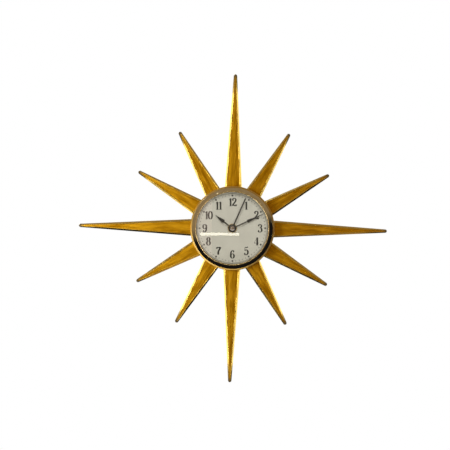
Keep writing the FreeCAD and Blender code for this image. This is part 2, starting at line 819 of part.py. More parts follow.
def make_shell(screws):
    """The movement's case: gear room above, battery bay below, posts, pivots' bosses and bush."""
    outside = rounded_box("shell", "move_half", "movement_corner", "-move_half", "cover_front", "dial_back")
    room = box("gear_room", "-room_half", "room_half", "partition_top", "room_half",
               "cover_front - overcut", "cavity_front")
    bay = box("battery_bay", "-room_half", "room_half", "-room_half", "bay_top",
              "cover_front - overcut", "cavity_front")
    wire_gap = box("contact_gap", "room_half - contact_thickness", "room_half", "bay_top - overcut",
                   "partition_top + overcut", "plate_back", "plate_front")
    hollow = cut("shell_hollow", outside, room, bay, wire_gap)
    solids = [hollow, cylinder("bush", "bush_radius", "dial_back - movement_wall", "bush_front")]
    for x, y in posts():
        solids.append(cylinder("post", "post_radius", "plate_front", "cavity_front", x, y))
        solids.append(cylinder("post_neck", "post_neck_radius", "bridge_front", "plate_front", x, y))
    stud_back = depth("motion_layer", "gear_thickness + end_play")
    solids.append(cylinder("motion_stud", "stud_radius", stud_back, "cavity_front", "motion_x", "motion_y"))
    bosses = [("third_x", "third_y", "third_arbor"), ("setting_x", "setting_y", "stud_radius")]
    holes = []
    for x, y, radius in bosses:
        solids.append(cylinder("pivot_boss", f"{radius} + boss_wall", depth("hour_layer", "seat_height"),
                               "cavity_front", x, y))
        holes.append(cylinder("pivot_hole", f"{radius} + running_fit",
                              depth("hour_layer", "seat_height + overcut"), "cavity_front", x, y))
    holes.append(cylinder("bush_hole", "hour_tube_radius + running_fit", "cavity_front - overcut",
                          "bush_front + overcut"))
    stand("movement_case", cut("shell_finished", fuse("shell_solid", *solids), *holes, screws))


def make_cover():
    plate = rounded_box("cover", "move_half", "movement_corner", "bay_top", "move_back", "cover_front")
    hole = cylinder("knob_hole", "setting_shaft_radius + running_fit", "move_back - overcut",
                    "cover_front + overcut", "setting_x", "setting_y")
    stand("movement_cover", cut("cover_finished", plate, hole))


def make_plates(screws):
    """The middle plate and the bridge, which hold the inner and rear pivots."""
    edges = (
        "contact_play - room_half",
        "room_half - contact_play - contact_thickness",
        "partition_top + contact_play",
    )
    middle = box("middle_blank", *edges, "plate_top", "plate_back", "plate_front")
    bridge = box("bridge_blank", *edges, "plate_top", "bridge_back", "bridge_front")
    wheels = {
        "intermediate": ("intermediate_x", "intermediate_y", "intermediate_arbor + running_fit"),
        "rotor": ("rotor_x", "rotor_y", "rotor_arbor + running_fit"),
        "setting": ("setting_x", "setting_y", "setting_shaft_radius + contact_play"),
    }
    for label, blank, low, high in (
        ("middle_plate", middle, "plate_back", "plate_front"),
        ("train_bridge", bridge, "bridge_back", "bridge_front"),
    ):
        inner = label == "middle_plate"
        pivots = dict(wheels)
        pivots["second"] = ("0", "0", "cannon_passage" if inner else "second_arbor + running_fit")
        third_hole = "third_passage" if inner else "third_arbor + running_fit"
        pivots["third"] = ("third_x", "third_y", third_hole)
        holes = [
            cylinder(f"{name}_pivot", radius, f"{low} - overcut", f"{high} + overcut", x, y)
            for name, (x, y, radius) in pivots.items()
        ]
        if inner:
            holes += [
                cylinder("post_passage", "post_neck_radius", f"{low} - overcut", f"{high} + overcut", x, y)
                for x, y in posts()
            ]
        else:
            holes.append(screws)
        stand(label, cut(label + "_cut", blank, *holes))


# battery and contacts


def make_battery():
    left = "contact_thickness + spring_gap - room_half"
    right = "room_half - contact_thickness - battery_nub_length"
    can = lying_cylinder("battery_can", "battery_radius - running_fit", left, right,
                         "battery_height", "battery_middle")
    nub = lying_cylinder("battery_nub", "battery_nub_radius", right, f"{right} + battery_nub_length",
                         "battery_height", "battery_middle")
    stand("battery", fuse("cell", can, nub))


def make_contacts():
    low = "battery_back + contact_margin"
    high = "cavity_front - contact_rise"
    bottom = "contact_margin - room_half"
    top = "bay_top - contact_rise"
    sheet = box("positive_sheet", "room_half - contact_thickness", "room_half", bottom, top, low, high)
    tail = box("positive_tail", "room_half - contact_thickness", "room_half", "bay_top - contact_margin",
               "board_bottom + contact_margin", "plate_back", "plate_front")
    stand("positive_contact", fuse("positive", sheet, tail))
    plate = box("negative_sheet", "-room_half", "contact_thickness - room_half", bottom, top, low, high)
    coils = []
    for turn, radius in enumerate(("spring_coil_radius", "spring_coil_radius - spring_wire")):
        ring = doc.addObject("Part::Torus", "spring_turn")
        bind(ring, Radius1=radius, Radius2="spring_wire")
        ring.Placement.Rotation = FreeCAD.Rotation(FreeCAD.Vector(0, 1, 0), 90)
        place = f"contact_thickness - room_half + spring_wire * (0.9 + 1.6 * {turn})"
        move(ring, place, "battery_height", "battery_middle")
        coils.append(ring)
    stand("negative_contact", fuse("negative", plate, *coils))


# stepping motor and circuit


def make_motor():
    coil_middle = "stator_front + coil_core_half / 2"
    rotor = ("rotor_x", "rotor_y")
    leg_top = "coil_height + coil_core_half * 2"
    arm_low = "third_y + third_distance - wheel_passage"
    pieces = [
        box("left_leg", "-leg_side - leg_half_width", "leg_half_width - leg_side", arm_low, leg_top,
            "stator_back", "stator_front"),
        box("left_arm", "-leg_side - leg_half_width", "rotor_x", arm_low,
            f"{arm_low} + left_arm_width", "stator_back", "stator_front"),
        box("right_leg", "leg_side - leg_half_width", "leg_side + leg_half_width",
            "rotor_y - arm_half_width", leg_top, "stator_back", "stator_front"),
        box("right_arm", "rotor_x", "leg_side", "rotor_y - arm_half_width", "rotor_y + arm_half_width",
            "stator_back", "stator_front"),
        cylinder("pole_ring", "stator_reach", "stator_back", "stator_front", *rotor),
    ]
    hole = cylinder("pole_hole", "magnet_radius + air_gap", "stator_back - overcut",
                    "stator_front + overcut", *rotor)
    stand("stator", cut("stator_cut", fuse("stator_blank", *pieces), hole))
    core = box("core", "-leg_side - leg_half_width", "leg_side + leg_half_width",
               "coil_height - coil_core_half", "coil_height + coil_core_half", "stator_front",
               "stator_front + coil_core_half")
    stand("coil_core", group("core_standing", core))
    inner = "coil_half_length - flange_width"
    outer = f"-({inner})"
    rod = lying_cylinder("bobbin_tube", "coil_tube_radius", outer, inner, "coil_height", coil_middle)
    ends = [
        lying_cylinder("bobbin_flange", "flange_radius", low, f"{low} + flange_width", "coil_height",
                       coil_middle)
        for low in ("-coil_half_length", inner)
    ]
    stand("coil_bobbin", cut("bobbin", fuse("bobbin_blank", rod, *ends), core))
    winding = lying_cylinder("winding_blank", "coil_radius", outer, inner, "coil_height", coil_middle)
    stand("coil_winding", cut("winding", winding, rod))


def make_circuit():
    board = box("board", "board_left", "board_right", "board_bottom", "board_top", "board_back",
                "plate_back")
    hole = cylinder("board_hole", "post_neck_radius + running_fit", "board_back - overcut",
                    "plate_back + overcut", "post_side", "post_top")
    stand("circuit_board", cut("board_cut", board, hole))
    middle = "(board_left + board_right) / 2"
    chip = cylinder("chip", "chip_radius", "board_back - chip_height", "board_back", middle,
                    "board_bottom + chip_radius + chip_margin")
    stand("clock_chip", group("chip_standing", chip))
    crystal_height = "board_bottom + 3 * chip_radius + chip_margin"
    crystal = lying_cylinder("crystal", "crystal_radius", f"{middle} - crystal_length / 2",
                             f"{middle} + crystal_length / 2", crystal_height,
                             "board_back - crystal_radius")
    stand("quartz_crystal", group("crystal_standing", crystal))


# wheels

WHEEL_TOOTH = {"width": 0.44, "tip": 0.14, "reach": 0.95, "root": 1.1}
PINION_TOOTH = {"width": 0.36, "tip": 0.16, "reach": 0.65, "root": 1.45}


def toothed(teeth, module, tooth, phase, low, high):
    """A toothed disc about the z axis. Tooth widths are shares of the pitch, heights are in modules."""
    radius = teeth * module / 2
    pitch = 2 * math.pi / teeth
    root = radius - tooth["root"] * module
    tip = radius + tooth["reach"] * module
    profile = [
        (root, -tooth["width"] / 2),
        (radius, -tooth["width"] / 2),
        (tip, -tooth["tip"] / 2),
        (tip, tooth["tip"] / 2),
        (radius, tooth["width"] / 2),
        (root, tooth["width"] / 2),
    ]
    points = []
    for number in range(int(teeth)):
        for distance, share in profile:
            angle = math.radians(phase) + (number + share) * pitch
            points.append(FreeCAD.Vector(distance * math.cos(angle), distance * math.sin(angle), low))
    face = Part.Face(Part.makePolygon(points + points[:1]))
    return face.extrude(FreeCAD.Vector(0, 0, high - low))


def round_bar(radius, low, high):
    return Part.makeCylinder(radius, high - low, FreeCAD.Vector(0, 0, low))


def mating_phase(phase, teeth, direction, other_teeth):
    """The phase that puts the other wheel's space on this wheel's tooth, along their line of centres."""
    share = ((direction - phase) * teeth / 360) % 1
    return direction + 180 + (share + 0.5) * 360 / other_teeth


def layer_span(layer):
    high = value(depth(layer))
    return high - value("gear_thickness"), high


def pinion_span(layer):
    """A pinion's low and high faces, a little outside the wheel of the same layer on both sides."""
    margin = value("(pinion_thickness - gear_thickness) / 2")
    low, high = layer_span(layer)
    return low - margin, high + margin


def make_motion_work():
    """Cannon pinion, motion wheel, hour wheel and setting knob, in mesh."""
    cannon_phase = 90.0
    motion_phase = mating_phase(cannon_phase, value("cannon_teeth"), value("motion_direction"),
                                value("motion_teeth"))
    setting_phase = mating_phase(motion_phase, value("motion_teeth"), value("setting_direction"),
                                 value("cannon_teeth"))
    hour_phase = mating_phase(0.0, value("motion_pinion_teeth"), value("motion_direction") + 180,
                              value("hour_teeth"))
    module = value("motion_module")
    low, high = pinion_span("motion_layer")
    arbor_back = value(depth("centre_layer", "gear_thickness + end_play + spring_thickness"))
    front = value("minute_hand_front + tube_proud")
    cannon = toothed(value("cannon_teeth"), module, PINION_TOOTH, cannon_phase, low, high)
    cannon = cannon.fuse(round_bar(value("cannon_radius"), high, front))
    cannon = cannon.fuse(round_bar(value("cannon_arbor"), arbor_back, low))
    stand_shape("cannon_pinion", cannon.cut(round_bar(value("cannon_bore"), arbor_back, front)))

    spring_low = arbor_back + value("running_fit")
    spring_high = spring_low + value("spring_thickness")
    spring = round_bar(value("spring_radius"), spring_low, spring_high)
    stand_shape("clutch_spring", spring.cut(round_bar(value("cannon_arbor"), spring_low, spring_high)))

    wheel_low, wheel_high = layer_span("motion_layer")
    pinion_high = value(depth("hour_layer", "-end_play"))
    motion = toothed(value("motion_teeth"), module, WHEEL_TOOTH, motion_phase, wheel_low, wheel_high)
    motion = motion.fuse(toothed(value("motion_pinion_teeth"), value("hour_module"), PINION_TOOTH, 0.0,
                                 wheel_high, pinion_high))
    bore = round_bar(value("stud_radius + running_fit"), wheel_low, pinion_high)
    stand_shape("motion_wheel", motion.cut(bore), "motion_x", "motion_y")

    gear_low, gear_high = layer_span("hour_layer")
    front = value("hour_hand_front + tube_proud")
    hour = toothed(value("hour_teeth"), value("hour_module"), WHEEL_TOOTH, hour_phase, gear_low, gear_high)
    hour = hour.fuse(round_bar(value("hour_tube_radius"), gear_high, front))
    stand_shape("hour_wheel", hour.cut(round_bar(value("hour_tube_bore"), gear_low, front)))

    setting = toothed(value("cannon_teeth"), module, PINION_TOOTH, setting_phase, low, high)
    setting = setting.fuse(round_bar(value("stud_radius"), high, value("cavity_front - end_play")))
    knob_front = value("move_back - knob_gap")
    setting = setting.fuse(round_bar(value("setting_shaft_radius"), knob_front, low))
    knob_tooth = {"width": 0.7, "tip": 0.4, "reach": 0.0, "root": 1.0}
    knob_radius = value("knob_radius")
    ridges = value("knob_ridges")
    knob = toothed(ridges, 2 * knob_radius / ridges, knob_tooth, 0.0,
                   knob_front - value("knob_height"), knob_front)
    stand_shape("setting_knob", setting.fuse(knob), "setting_x", "setting_y")


def make_train():
    """Second, third and centre wheels, intermediate wheel and rotor, in mesh."""
    third_phase = mating_phase(0.0, value("second_pinion_teeth"), value("third_direction"),
                               value("third_teeth"))
    centre_phase = mating_phase(0.0, value("third_pinion_teeth"), value("third_direction") + 180,
                                value("centre_teeth"))
    idle_phase = mating_phase(0.0, value("second_teeth"), value("intermediate_direction"),
                              value("intermediate_pinion_teeth"))
    rotor_phase = mating_phase(0.0, value("intermediate_teeth"), value("rotor_direction"),
                               value("rotor_teeth"))
    pivot_end = value("bridge_back + running_fit")

    wheel_low, wheel_high = layer_span("centre_layer")
    centre = toothed(value("centre_teeth"), value("centre_module"), WHEEL_TOOTH, centre_phase,
                     wheel_low, wheel_high)
    bore = round_bar(value("cannon_arbor + running_fit"), wheel_low, wheel_high)
    stand_shape("centre_wheel", centre.cut(bore))

    wheel_low, wheel_high = layer_span("third_layer")
    third = toothed(value("third_teeth"), value("third_module"), WHEEL_TOOTH, third_phase,
                    wheel_low, wheel_high)
    third = third.fuse(toothed(value("third_pinion_teeth"), value("centre_module"), PINION_TOOTH, 0.0,
                               *pinion_span("centre_layer")))
    third = third.fuse(round_bar(value("third_arbor"), pivot_end, value("cavity_front - end_play")))
    stand_shape("third_wheel", third, "third_x", "third_y")

    wheel_low, wheel_high = layer_span("second_layer")
    second = toothed(value("second_teeth"), value("second_module"), WHEEL_TOOTH, 0.0, wheel_low, wheel_high)
    second = second.fuse(toothed(value("second_pinion_teeth"), value("third_module"), PINION_TOOTH, 0.0,
                                 *pinion_span("third_layer")))
    second = second.fuse(round_bar(value("second_arbor"), pivot_end, value("second_hand_front")))
    stand_shape("second_wheel", second)

    inner_end = value("plate_front - running_fit")
    wheel_low, wheel_high = layer_span("intermediate_layer")
    idle = toothed(value("intermediate_teeth"), value("rotor_module"), WHEEL_TOOTH, 0.0,
                   wheel_low, wheel_high)
    idle = idle.fuse(toothed(value("intermediate_pinion_teeth"), value("second_module"), PINION_TOOTH,
                             idle_phase, *pinion_span("second_layer")))
    idle = idle.fuse(round_bar(value("intermediate_arbor"), pivot_end, inner_end))
    stand_shape("intermediate_wheel", idle, "intermediate_x", "intermediate_y")

    pinion = toothed(value("rotor_teeth"), value("rotor_module"), PINION_TOOTH, rotor_phase,
                     *pinion_span("intermediate_layer"))
    pinion = pinion.fuse(round_bar(value("rotor_arbor"), pivot_end, inner_end))
    stand_shape("rotor_pinion", pinion, "rotor_x", "rotor_y")
    middle = value("(stator_front + stator_back) / 2")
    half = value("magnet_thickness / 2")
    magnet = round_bar(value("magnet_radius"), middle - half, middle + half)
    magnet = magnet.cut(round_bar(value("rotor_arbor"), middle - half, middle + half))
    stand_shape("rotor_magnet", magnet, "rotor_x", "rotor_y")


def build():
    case_screws = make_case_screws()
    hanger_screws = make_hanger_screws()
    shell_screws = make_shell_screws()
    for number in range(RAY_COUNT):
        make_ray(number)
    make_hub(make_rivets(), case_screws)
    make_hanger(hanger_screws)
    make_spacer(case_screws, hanger_screws)
    make_case(case_screws)
    make_bezel()
    make_glass()
    make_inner_ring()
    make_dial()
    make_spade_hand("hour_hand", "hour", "hour_tube_radius", "boss_radius")
    make_spade_hand("minute_hand", "minute", "cannon_radius", "boss_radius * 0.85")
    make_second_hand()
    make_shell(shell_screws)
    make_cover()
    make_plates(shell_screws)
    make_battery()
    make_contacts()
    make_motor()
    make_circuit()
    make_motion_work()
    make_train()
    doc.recompute()


def check_and_write():
    faults = [f"{o.Name}: {o.State}" for o in doc.Objects if {"Invalid", "Error"} & set(o.State)]
    for piece in sub_parts:
        shape = piece.Shape
        if shape.isNull() or not shape.isValid() or not shape.Solids:
            faults.append(f"{piece.Label}: not a valid solid")
    if faults:
        raise RuntimeError("; ".join(faults))
    os.makedirs("parts", exist_ok=True)
    for piece in sub_parts:
        piece.Shape.exportStep(f"parts/{piece.Label}.step")
        print(piece.Label, len(piece.Shape.Solids), round(piece.Shape.Volume, 2))
    print(len(sub_parts), "sub-parts")


build()
check_and_write()
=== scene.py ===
import json
import math

import bmesh
import bpy
from mathutils import Matrix, Vector

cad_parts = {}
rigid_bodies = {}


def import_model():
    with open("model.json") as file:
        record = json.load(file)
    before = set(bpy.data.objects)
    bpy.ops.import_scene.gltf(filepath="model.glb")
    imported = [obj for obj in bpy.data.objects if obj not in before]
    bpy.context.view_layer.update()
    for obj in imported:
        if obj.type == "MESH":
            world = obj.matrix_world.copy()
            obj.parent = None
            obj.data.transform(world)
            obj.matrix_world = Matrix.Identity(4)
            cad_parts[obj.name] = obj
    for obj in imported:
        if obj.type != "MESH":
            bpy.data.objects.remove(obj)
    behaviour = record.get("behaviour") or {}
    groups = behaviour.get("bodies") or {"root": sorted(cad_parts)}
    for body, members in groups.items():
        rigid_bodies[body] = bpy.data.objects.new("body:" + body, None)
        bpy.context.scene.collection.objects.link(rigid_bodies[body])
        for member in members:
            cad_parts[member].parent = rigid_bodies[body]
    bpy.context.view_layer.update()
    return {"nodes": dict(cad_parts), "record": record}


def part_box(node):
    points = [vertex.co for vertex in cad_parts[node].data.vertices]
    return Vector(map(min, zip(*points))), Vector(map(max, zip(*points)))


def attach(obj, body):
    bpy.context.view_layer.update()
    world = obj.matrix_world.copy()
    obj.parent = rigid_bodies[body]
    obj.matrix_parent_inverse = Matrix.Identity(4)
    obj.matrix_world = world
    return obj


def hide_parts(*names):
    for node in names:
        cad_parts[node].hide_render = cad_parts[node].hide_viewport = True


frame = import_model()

nodes = frame["nodes"]
print("frame loaded")

# The clock faces -Y, its axis is the Y axis, and the wall lies on y = 0. "Forward" is measured from
# the wall towards the viewer, so y = -forward. Lengths are in metres.


# measures read from the frame

def forwardSpan(node):
    low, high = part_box(node)
    return -high.y, -low.y


def radii(node):  # least and greatest distance from the clock's axis
    distances = [math.hypot(v.co.x, v.co.z) for v in nodes[node].data.vertices]
    return min(distances), max(distances)


def bearing(node):  # clockwise from 12 o'clock
    corners = nodes[node].data.vertices
    return math.atan2(sum(v.co.x for v in corners), sum(v.co.z for v in corners))


def mergedCopy(node):
    made = bmesh.new()
    made.from_mesh(nodes[node].data)
    bmesh.ops.remove_doubles(made, verts=made.verts, dist=1e-6)
    return made


def islands(node):  # the box of each separate solid in a node
    made = mergedCopy(node)
    seen, boxes = set(), []
    for start in made.verts:
        if start in seen:
            continue
        found, waiting = [], [start]
        seen.add(start)
        while waiting:
            corner = waiting.pop()
            found.append(corner.co.copy())
            for edge in corner.link_edges:
                other = edge.other_vert(corner)
                if other not in seen:
                    seen.add(other)
                    waiting.append(other)
        boxes.append((
            Vector([min(c[axis] for c in found) for axis in range(3)]),
            Vector([max(c[axis] for c in found) for axis in range(3)]),
        ))
    made.free()
    return boxes


# material tools

def startMaterial(name):
    material = bpy.data.materials.new(name)
    material.use_nodes = True
    tree = material.node_tree
    tree.nodes.clear()
    output = tree.nodes.new("ShaderNodeOutputMaterial")
    shader = tree.nodes.new("ShaderNodeBsdfPrincipled")
    tree.links.new(shader.outputs["BSDF"], output.inputs["Surface"])
    return material, tree, shader


def feed(tree, socket, content):  # content is another node's socket or a plain value
    if isinstance(content, bpy.types.NodeSocket):
        tree.links.new(content, socket)
    else:
        socket.default_value = content


def fill(tree, made, **values):  # sockets by name, with _ for a space
    for name, content in values.items():
        feed(tree, made.inputs[name.replace("_", " ")], content)


def addNode(tree, kind, settings=None, **values):
    made = tree.nodes.new(kind)
    for name, setting in (settings or {}).items():
        setattr(made, name, setting)
    fill(tree, made, **values)
    return made


def calc(tree, operation, *terms):
    made = addNode(tree, "ShaderNodeMath", {"operation": operation})
    for socket, term in zip(made.inputs, terms):
        feed(tree, socket, term)
    return made.outputs[0]


def arithmetic(tree):  # short words for adding, subtracting and multiplying in one tree
    return [lambda first, second, kind=kind: calc(tree, kind, first, second)
            for kind in ("ADD", "SUBTRACT", "MULTIPLY")]


def mixed(tree, share, first, second, kind="RGBA"):  # share 0 gives the first, share 1 the second
    made = addNode(tree, "ShaderNodeMix", {"data_type": kind}, Factor=share, A=first, B=second)
    return made.outputs["Result"]


def mixedShader(tree, share, first, second):
    made = tree.nodes.new("ShaderNodeMixShader")
    for socket, content in zip(made.inputs, (share, first, second)):
        tree.links.new(content, socket)
    return made.outputs[0]


def nodeOfType(tree, kind):
    return next(node for node in tree.nodes if node.type == kind)


def coordinates(tree, stretch=(1, 1, 1), attribute=None):
    if attribute:
        source = addNode(tree, "ShaderNodeAttribute", {"attribute_name": attribute}).outputs["Vector"]
    else:
        source = addNode(tree, "ShaderNodeTexCoord").outputs["Object"]
    return addNode(tree, "ShaderNodeMapping", Vector=source, Scale=stretch).outputs["Vector"]


def noise(tree, where, scale, detail=3.0, roughness=0.5):
    made = addNode(tree, "ShaderNodeTexNoise", Vector=where, Scale=scale, Detail=detail, Roughness=roughness)
    return made.outputs["Fac"]


def ramp(tree, driver, stops, kind="LINEAR"):
    made = addNode(tree, "ShaderNodeValToRGB", Fac=driver)
    made.color_ramp.interpolation = kind
    elements = made.color_ramp.elements
    while len(elements) < len(stops):
        elements.new(0.5)
    for element, (place, colour) in zip(elements, stops):
        element.position = place
        element.color = (*colour, 1.0)
    return made.outputs["Color"]


def span(tree, driver, low, high, fromLow=0.3, fromHigh=0.7, kind="LINEAR"):
    made = addNode(tree, "ShaderNodeMapRange", {"interpolation_type": kind}, Value=driver,
                   From_Min=fromLow, From_Max=fromHigh, To_Min=low, To_Max=high)
    return made.outputs["Result"]


def bump(tree, shader, height, strength, distance):
    made = addNode(tree, "ShaderNodeBump", Height=height, Strength=strength, Distance=distance)
    fill(tree, shader, Normal=made.outputs["Normal"])


# A finish is a base colour that drifts between two tones, a roughness that drifts with it, and a
# fine bump. grain is the size of the pattern in metres, one for all or along x, y and z.
def makeFinish(name, dark, light, grain, roughness, metallic=0.0, relief=0.00002, coat=0.0):
    material, tree, shader = startMaterial(name)
    sizes = grain if isinstance(grain, tuple) else (grain,) * 3
    where = coordinates(tree, [1 / size for size in sizes])
    pattern = noise(tree, where, 1.0, 4.0)
    fill(tree, shader, Metallic=metallic, Coat_Weight=coat, Coat_Roughness=0.08,
         Base_Color=ramp(tree, pattern, [(0.3, dark), (0.7, light)]),
         Roughness=span(tree, pattern, *roughness))
    bump(tree, shader, noise(tree, where, 2.3, 5.0), 0.35, relief)
    return material


# finishes

rayFinish = {
    "dark": (0.56, 0.250, 0.002),
    "light": (0.92, 0.500, 0.020),
    "rim": (0.94, 0.68, 0.18),
    "tip": (0.30, 0.235, 0.13),
    "streakAcross": 0.0009,
    "streakAlong": 0.016,
    "broader": (5, 2.2),       # how much wider and longer the broad drift of colour is
    "crinkles": 1400,          # per metre
    "streakShare": 0.55,
    "roughness": (0.30, 0.46),
    "rimRoughness": 0.24,
    "relief": 0.00012,
}


def makeRayMaterial():
    material, tree, shader = startMaterial("grainedGoldLacquer")
    plus, minus, times = arithmetic(tree)
    across, along = 1 / rayFinish["streakAcross"], 1 / rayFinish["streakAlong"]
    wider, longer = rayFinish["broader"]
    crinkles, share = rayFinish["crinkles"], rayFinish["streakShare"]
    streaks = noise(tree, coordinates(tree, (across, along, 1), "grain"), 1.0, 5.0, 0.6)
    broad = noise(tree, coordinates(tree, (across / wider, along / longer, 1), "grain"), 1.0, 2.0)
    crinkle = noise(tree, coordinates(tree, (crinkles, crinkles, 1), "grain"), 1.0, 2.0)
    drift = plus(times(streaks, share), times(broad, 1 - share))
    gold = ramp(tree, drift, [(0.38, rayFinish["dark"]), (0.62, rayFinish["light"])])
    field, tip = [addNode(tree, "ShaderNodeAttribute", {"attribute_name": name}).outputs["Fac"]
                  for name in ("field", "tip")]
    faced = mixed(tree, field, (*rayFinish["rim"], 1), gold)
    rough = span(tree, drift, *rayFinish["roughness"], 0.35, 0.65)
    fill(tree, shader, Metallic=1.0, Base_Color=mixed(tree, tip, faced, (*rayFinish["tip"], 1)),
         Roughness=plus(times(rough, field), times(minus(1.0, field), rayFinish["rimRoughness"])))
    height = plus(times(streaks, 0.7), times(crinkle, 0.5))
    bump(tree, shader, times(height, field), 0.6, rayFinish["relief"])
    return material


def makeGlassMaterial():
    material, tree, shader = startMaterial("flatClearGlass")
    smears = noise(tree, coordinates(tree, (35, 35, 35)), 1.0, 3.0)
    fill(tree, shader, Base_Color=(0.97, 0.985, 0.975, 1), Transmission_Weight=1.0, IOR=1.5,
         Roughness=span(tree, smears, 0.0, 0.006, 0.45, 0.8))
    inShadow = addNode(tree, "ShaderNodeLightPath").outputs["Is Shadow Ray"]
    clear = addNode(tree, "ShaderNodeBsdfTransparent").outputs["BSDF"]
    fill(tree, nodeOfType(tree, "OUTPUT_MATERIAL"),
         Surface=mixedShader(tree, inShadow, shader.outputs["BSDF"], clear))
    return material


# The turned bezel is pale and polished, and its flange keeps a deeper, softer gold.
bezelFinish = {
    "flangeColour": (0.96, 0.66, 0.20),
    "flangeRoughness": 0.34,
    "flangeStart": 0.0548,
    "fade": 0.0002,
}


def makeBezelMaterial():
    material = makeFinish("mirrorPolishedBrass", (0.84, 0.68, 0.38), (0.93, 0.79, 0.50), 0.004,
                          (0.03, 0.07), 1.0, 0.000004)
    tree = material.node_tree
    shader = nodeOfType(tree, "BSDF_PRINCIPLED")
    fromAxis = addNode(tree, "ShaderNodeVectorMath", {"operation": "LENGTH"},
                       Vector=coordinates(tree, (1, 0, 1))).outputs["Value"]
    start, fade = bezelFinish["flangeStart"], bezelFinish["fade"]
    flange = span(tree, fromAxis, 0, 1, start - fade, start + fade)
    for name, own, kind in (("Base Color", (*bezelFinish["flangeColour"], 1), "RGBA"),
                            ("Roughness", bezelFinish["flangeRoughness"], "FLOAT")):
        plain = shader.inputs[name].links[0].from_socket
        tree.links.new(mixed(tree, flange, plain, own, kind), shader.inputs[name])
    return material


# A battery sleeve in two tones: copper at the plus end, dark green for the rest, steel at both rims.
batteryBands = [
    (0.0, (0.62, 0.62, 0.60)), (0.018, (0.02, 0.075, 0.05)), (0.70, (0.62, 0.60, 0.55)),
    (0.712, (0.52, 0.24, 0.09)), (0.962, (0.62, 0.62, 0.60)),
]


def makeBatteryMaterial():
    material, tree, shader = startMaterial("batterySleeve")
    low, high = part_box("battery")
    place = addNode(tree, "ShaderNodeTexCoord").outputs["Object"]
    x = addNode(tree, "ShaderNodeSeparateXYZ", Vector=place).outputs["X"]
    scuffs = noise(tree, coordinates(tree, (500, 500, 500)), 1.0, 5.0)
    fill(tree, shader, Metallic=0.55, Roughness=span(tree, scuffs, 0.22, 0.42),
         Base_Color=ramp(tree, span(tree, x, 0, 1, low.x, high.x), batteryBands, "CONSTANT"))
    bump(tree, shader, scuffs, 0.2, 0.00003)
    return material


def makeWindingMaterial():
    material, tree, shader = startMaterial("woundCopperWire")
    turns = addNode(tree, "ShaderNodeTexWave", {"bands_direction": "X"}, Vector=coordinates(tree),
                    Scale=1300.0, Distortion=0.4, Detail=1.0).outputs["Fac"]
    fill(tree, shader, Metallic=1.0, Roughness=span(tree, turns, 0.5, 0.25, 0, 1),
         Base_Color=ramp(tree, turns, [(0.1, (0.22, 0.06, 0.02)), (0.8, (0.72, 0.30, 0.12))]))
    bump(tree, shader, turns, 0.7, 0.0001)
    return material


# Solder mask over copper tracks that run up the board.
def makeBoardMaterial():
    material, tree, shader = startMaterial("circuitBoardMask")
    tracks = addNode(tree, "ShaderNodeTexWave", {"bands_direction": "X", "wave_profile": "SIN"},
                     Vector=coordinates(tree), Scale=130.0, Distortion=5.0, Detail=0.0,
                     Detail_Scale=0.3).outputs["Fac"]
    fill(tree, shader, Roughness=span(tree, tracks, 0.35, 0.22, 0, 1),
         Base_Color=ramp(tree, tracks, [(0.55, (0.015, 0.10, 0.04)), (0.6, (0.04, 0.22, 0.09))]))
    bump(tree, shader, tracks, 0.4, 0.00004)
    return material


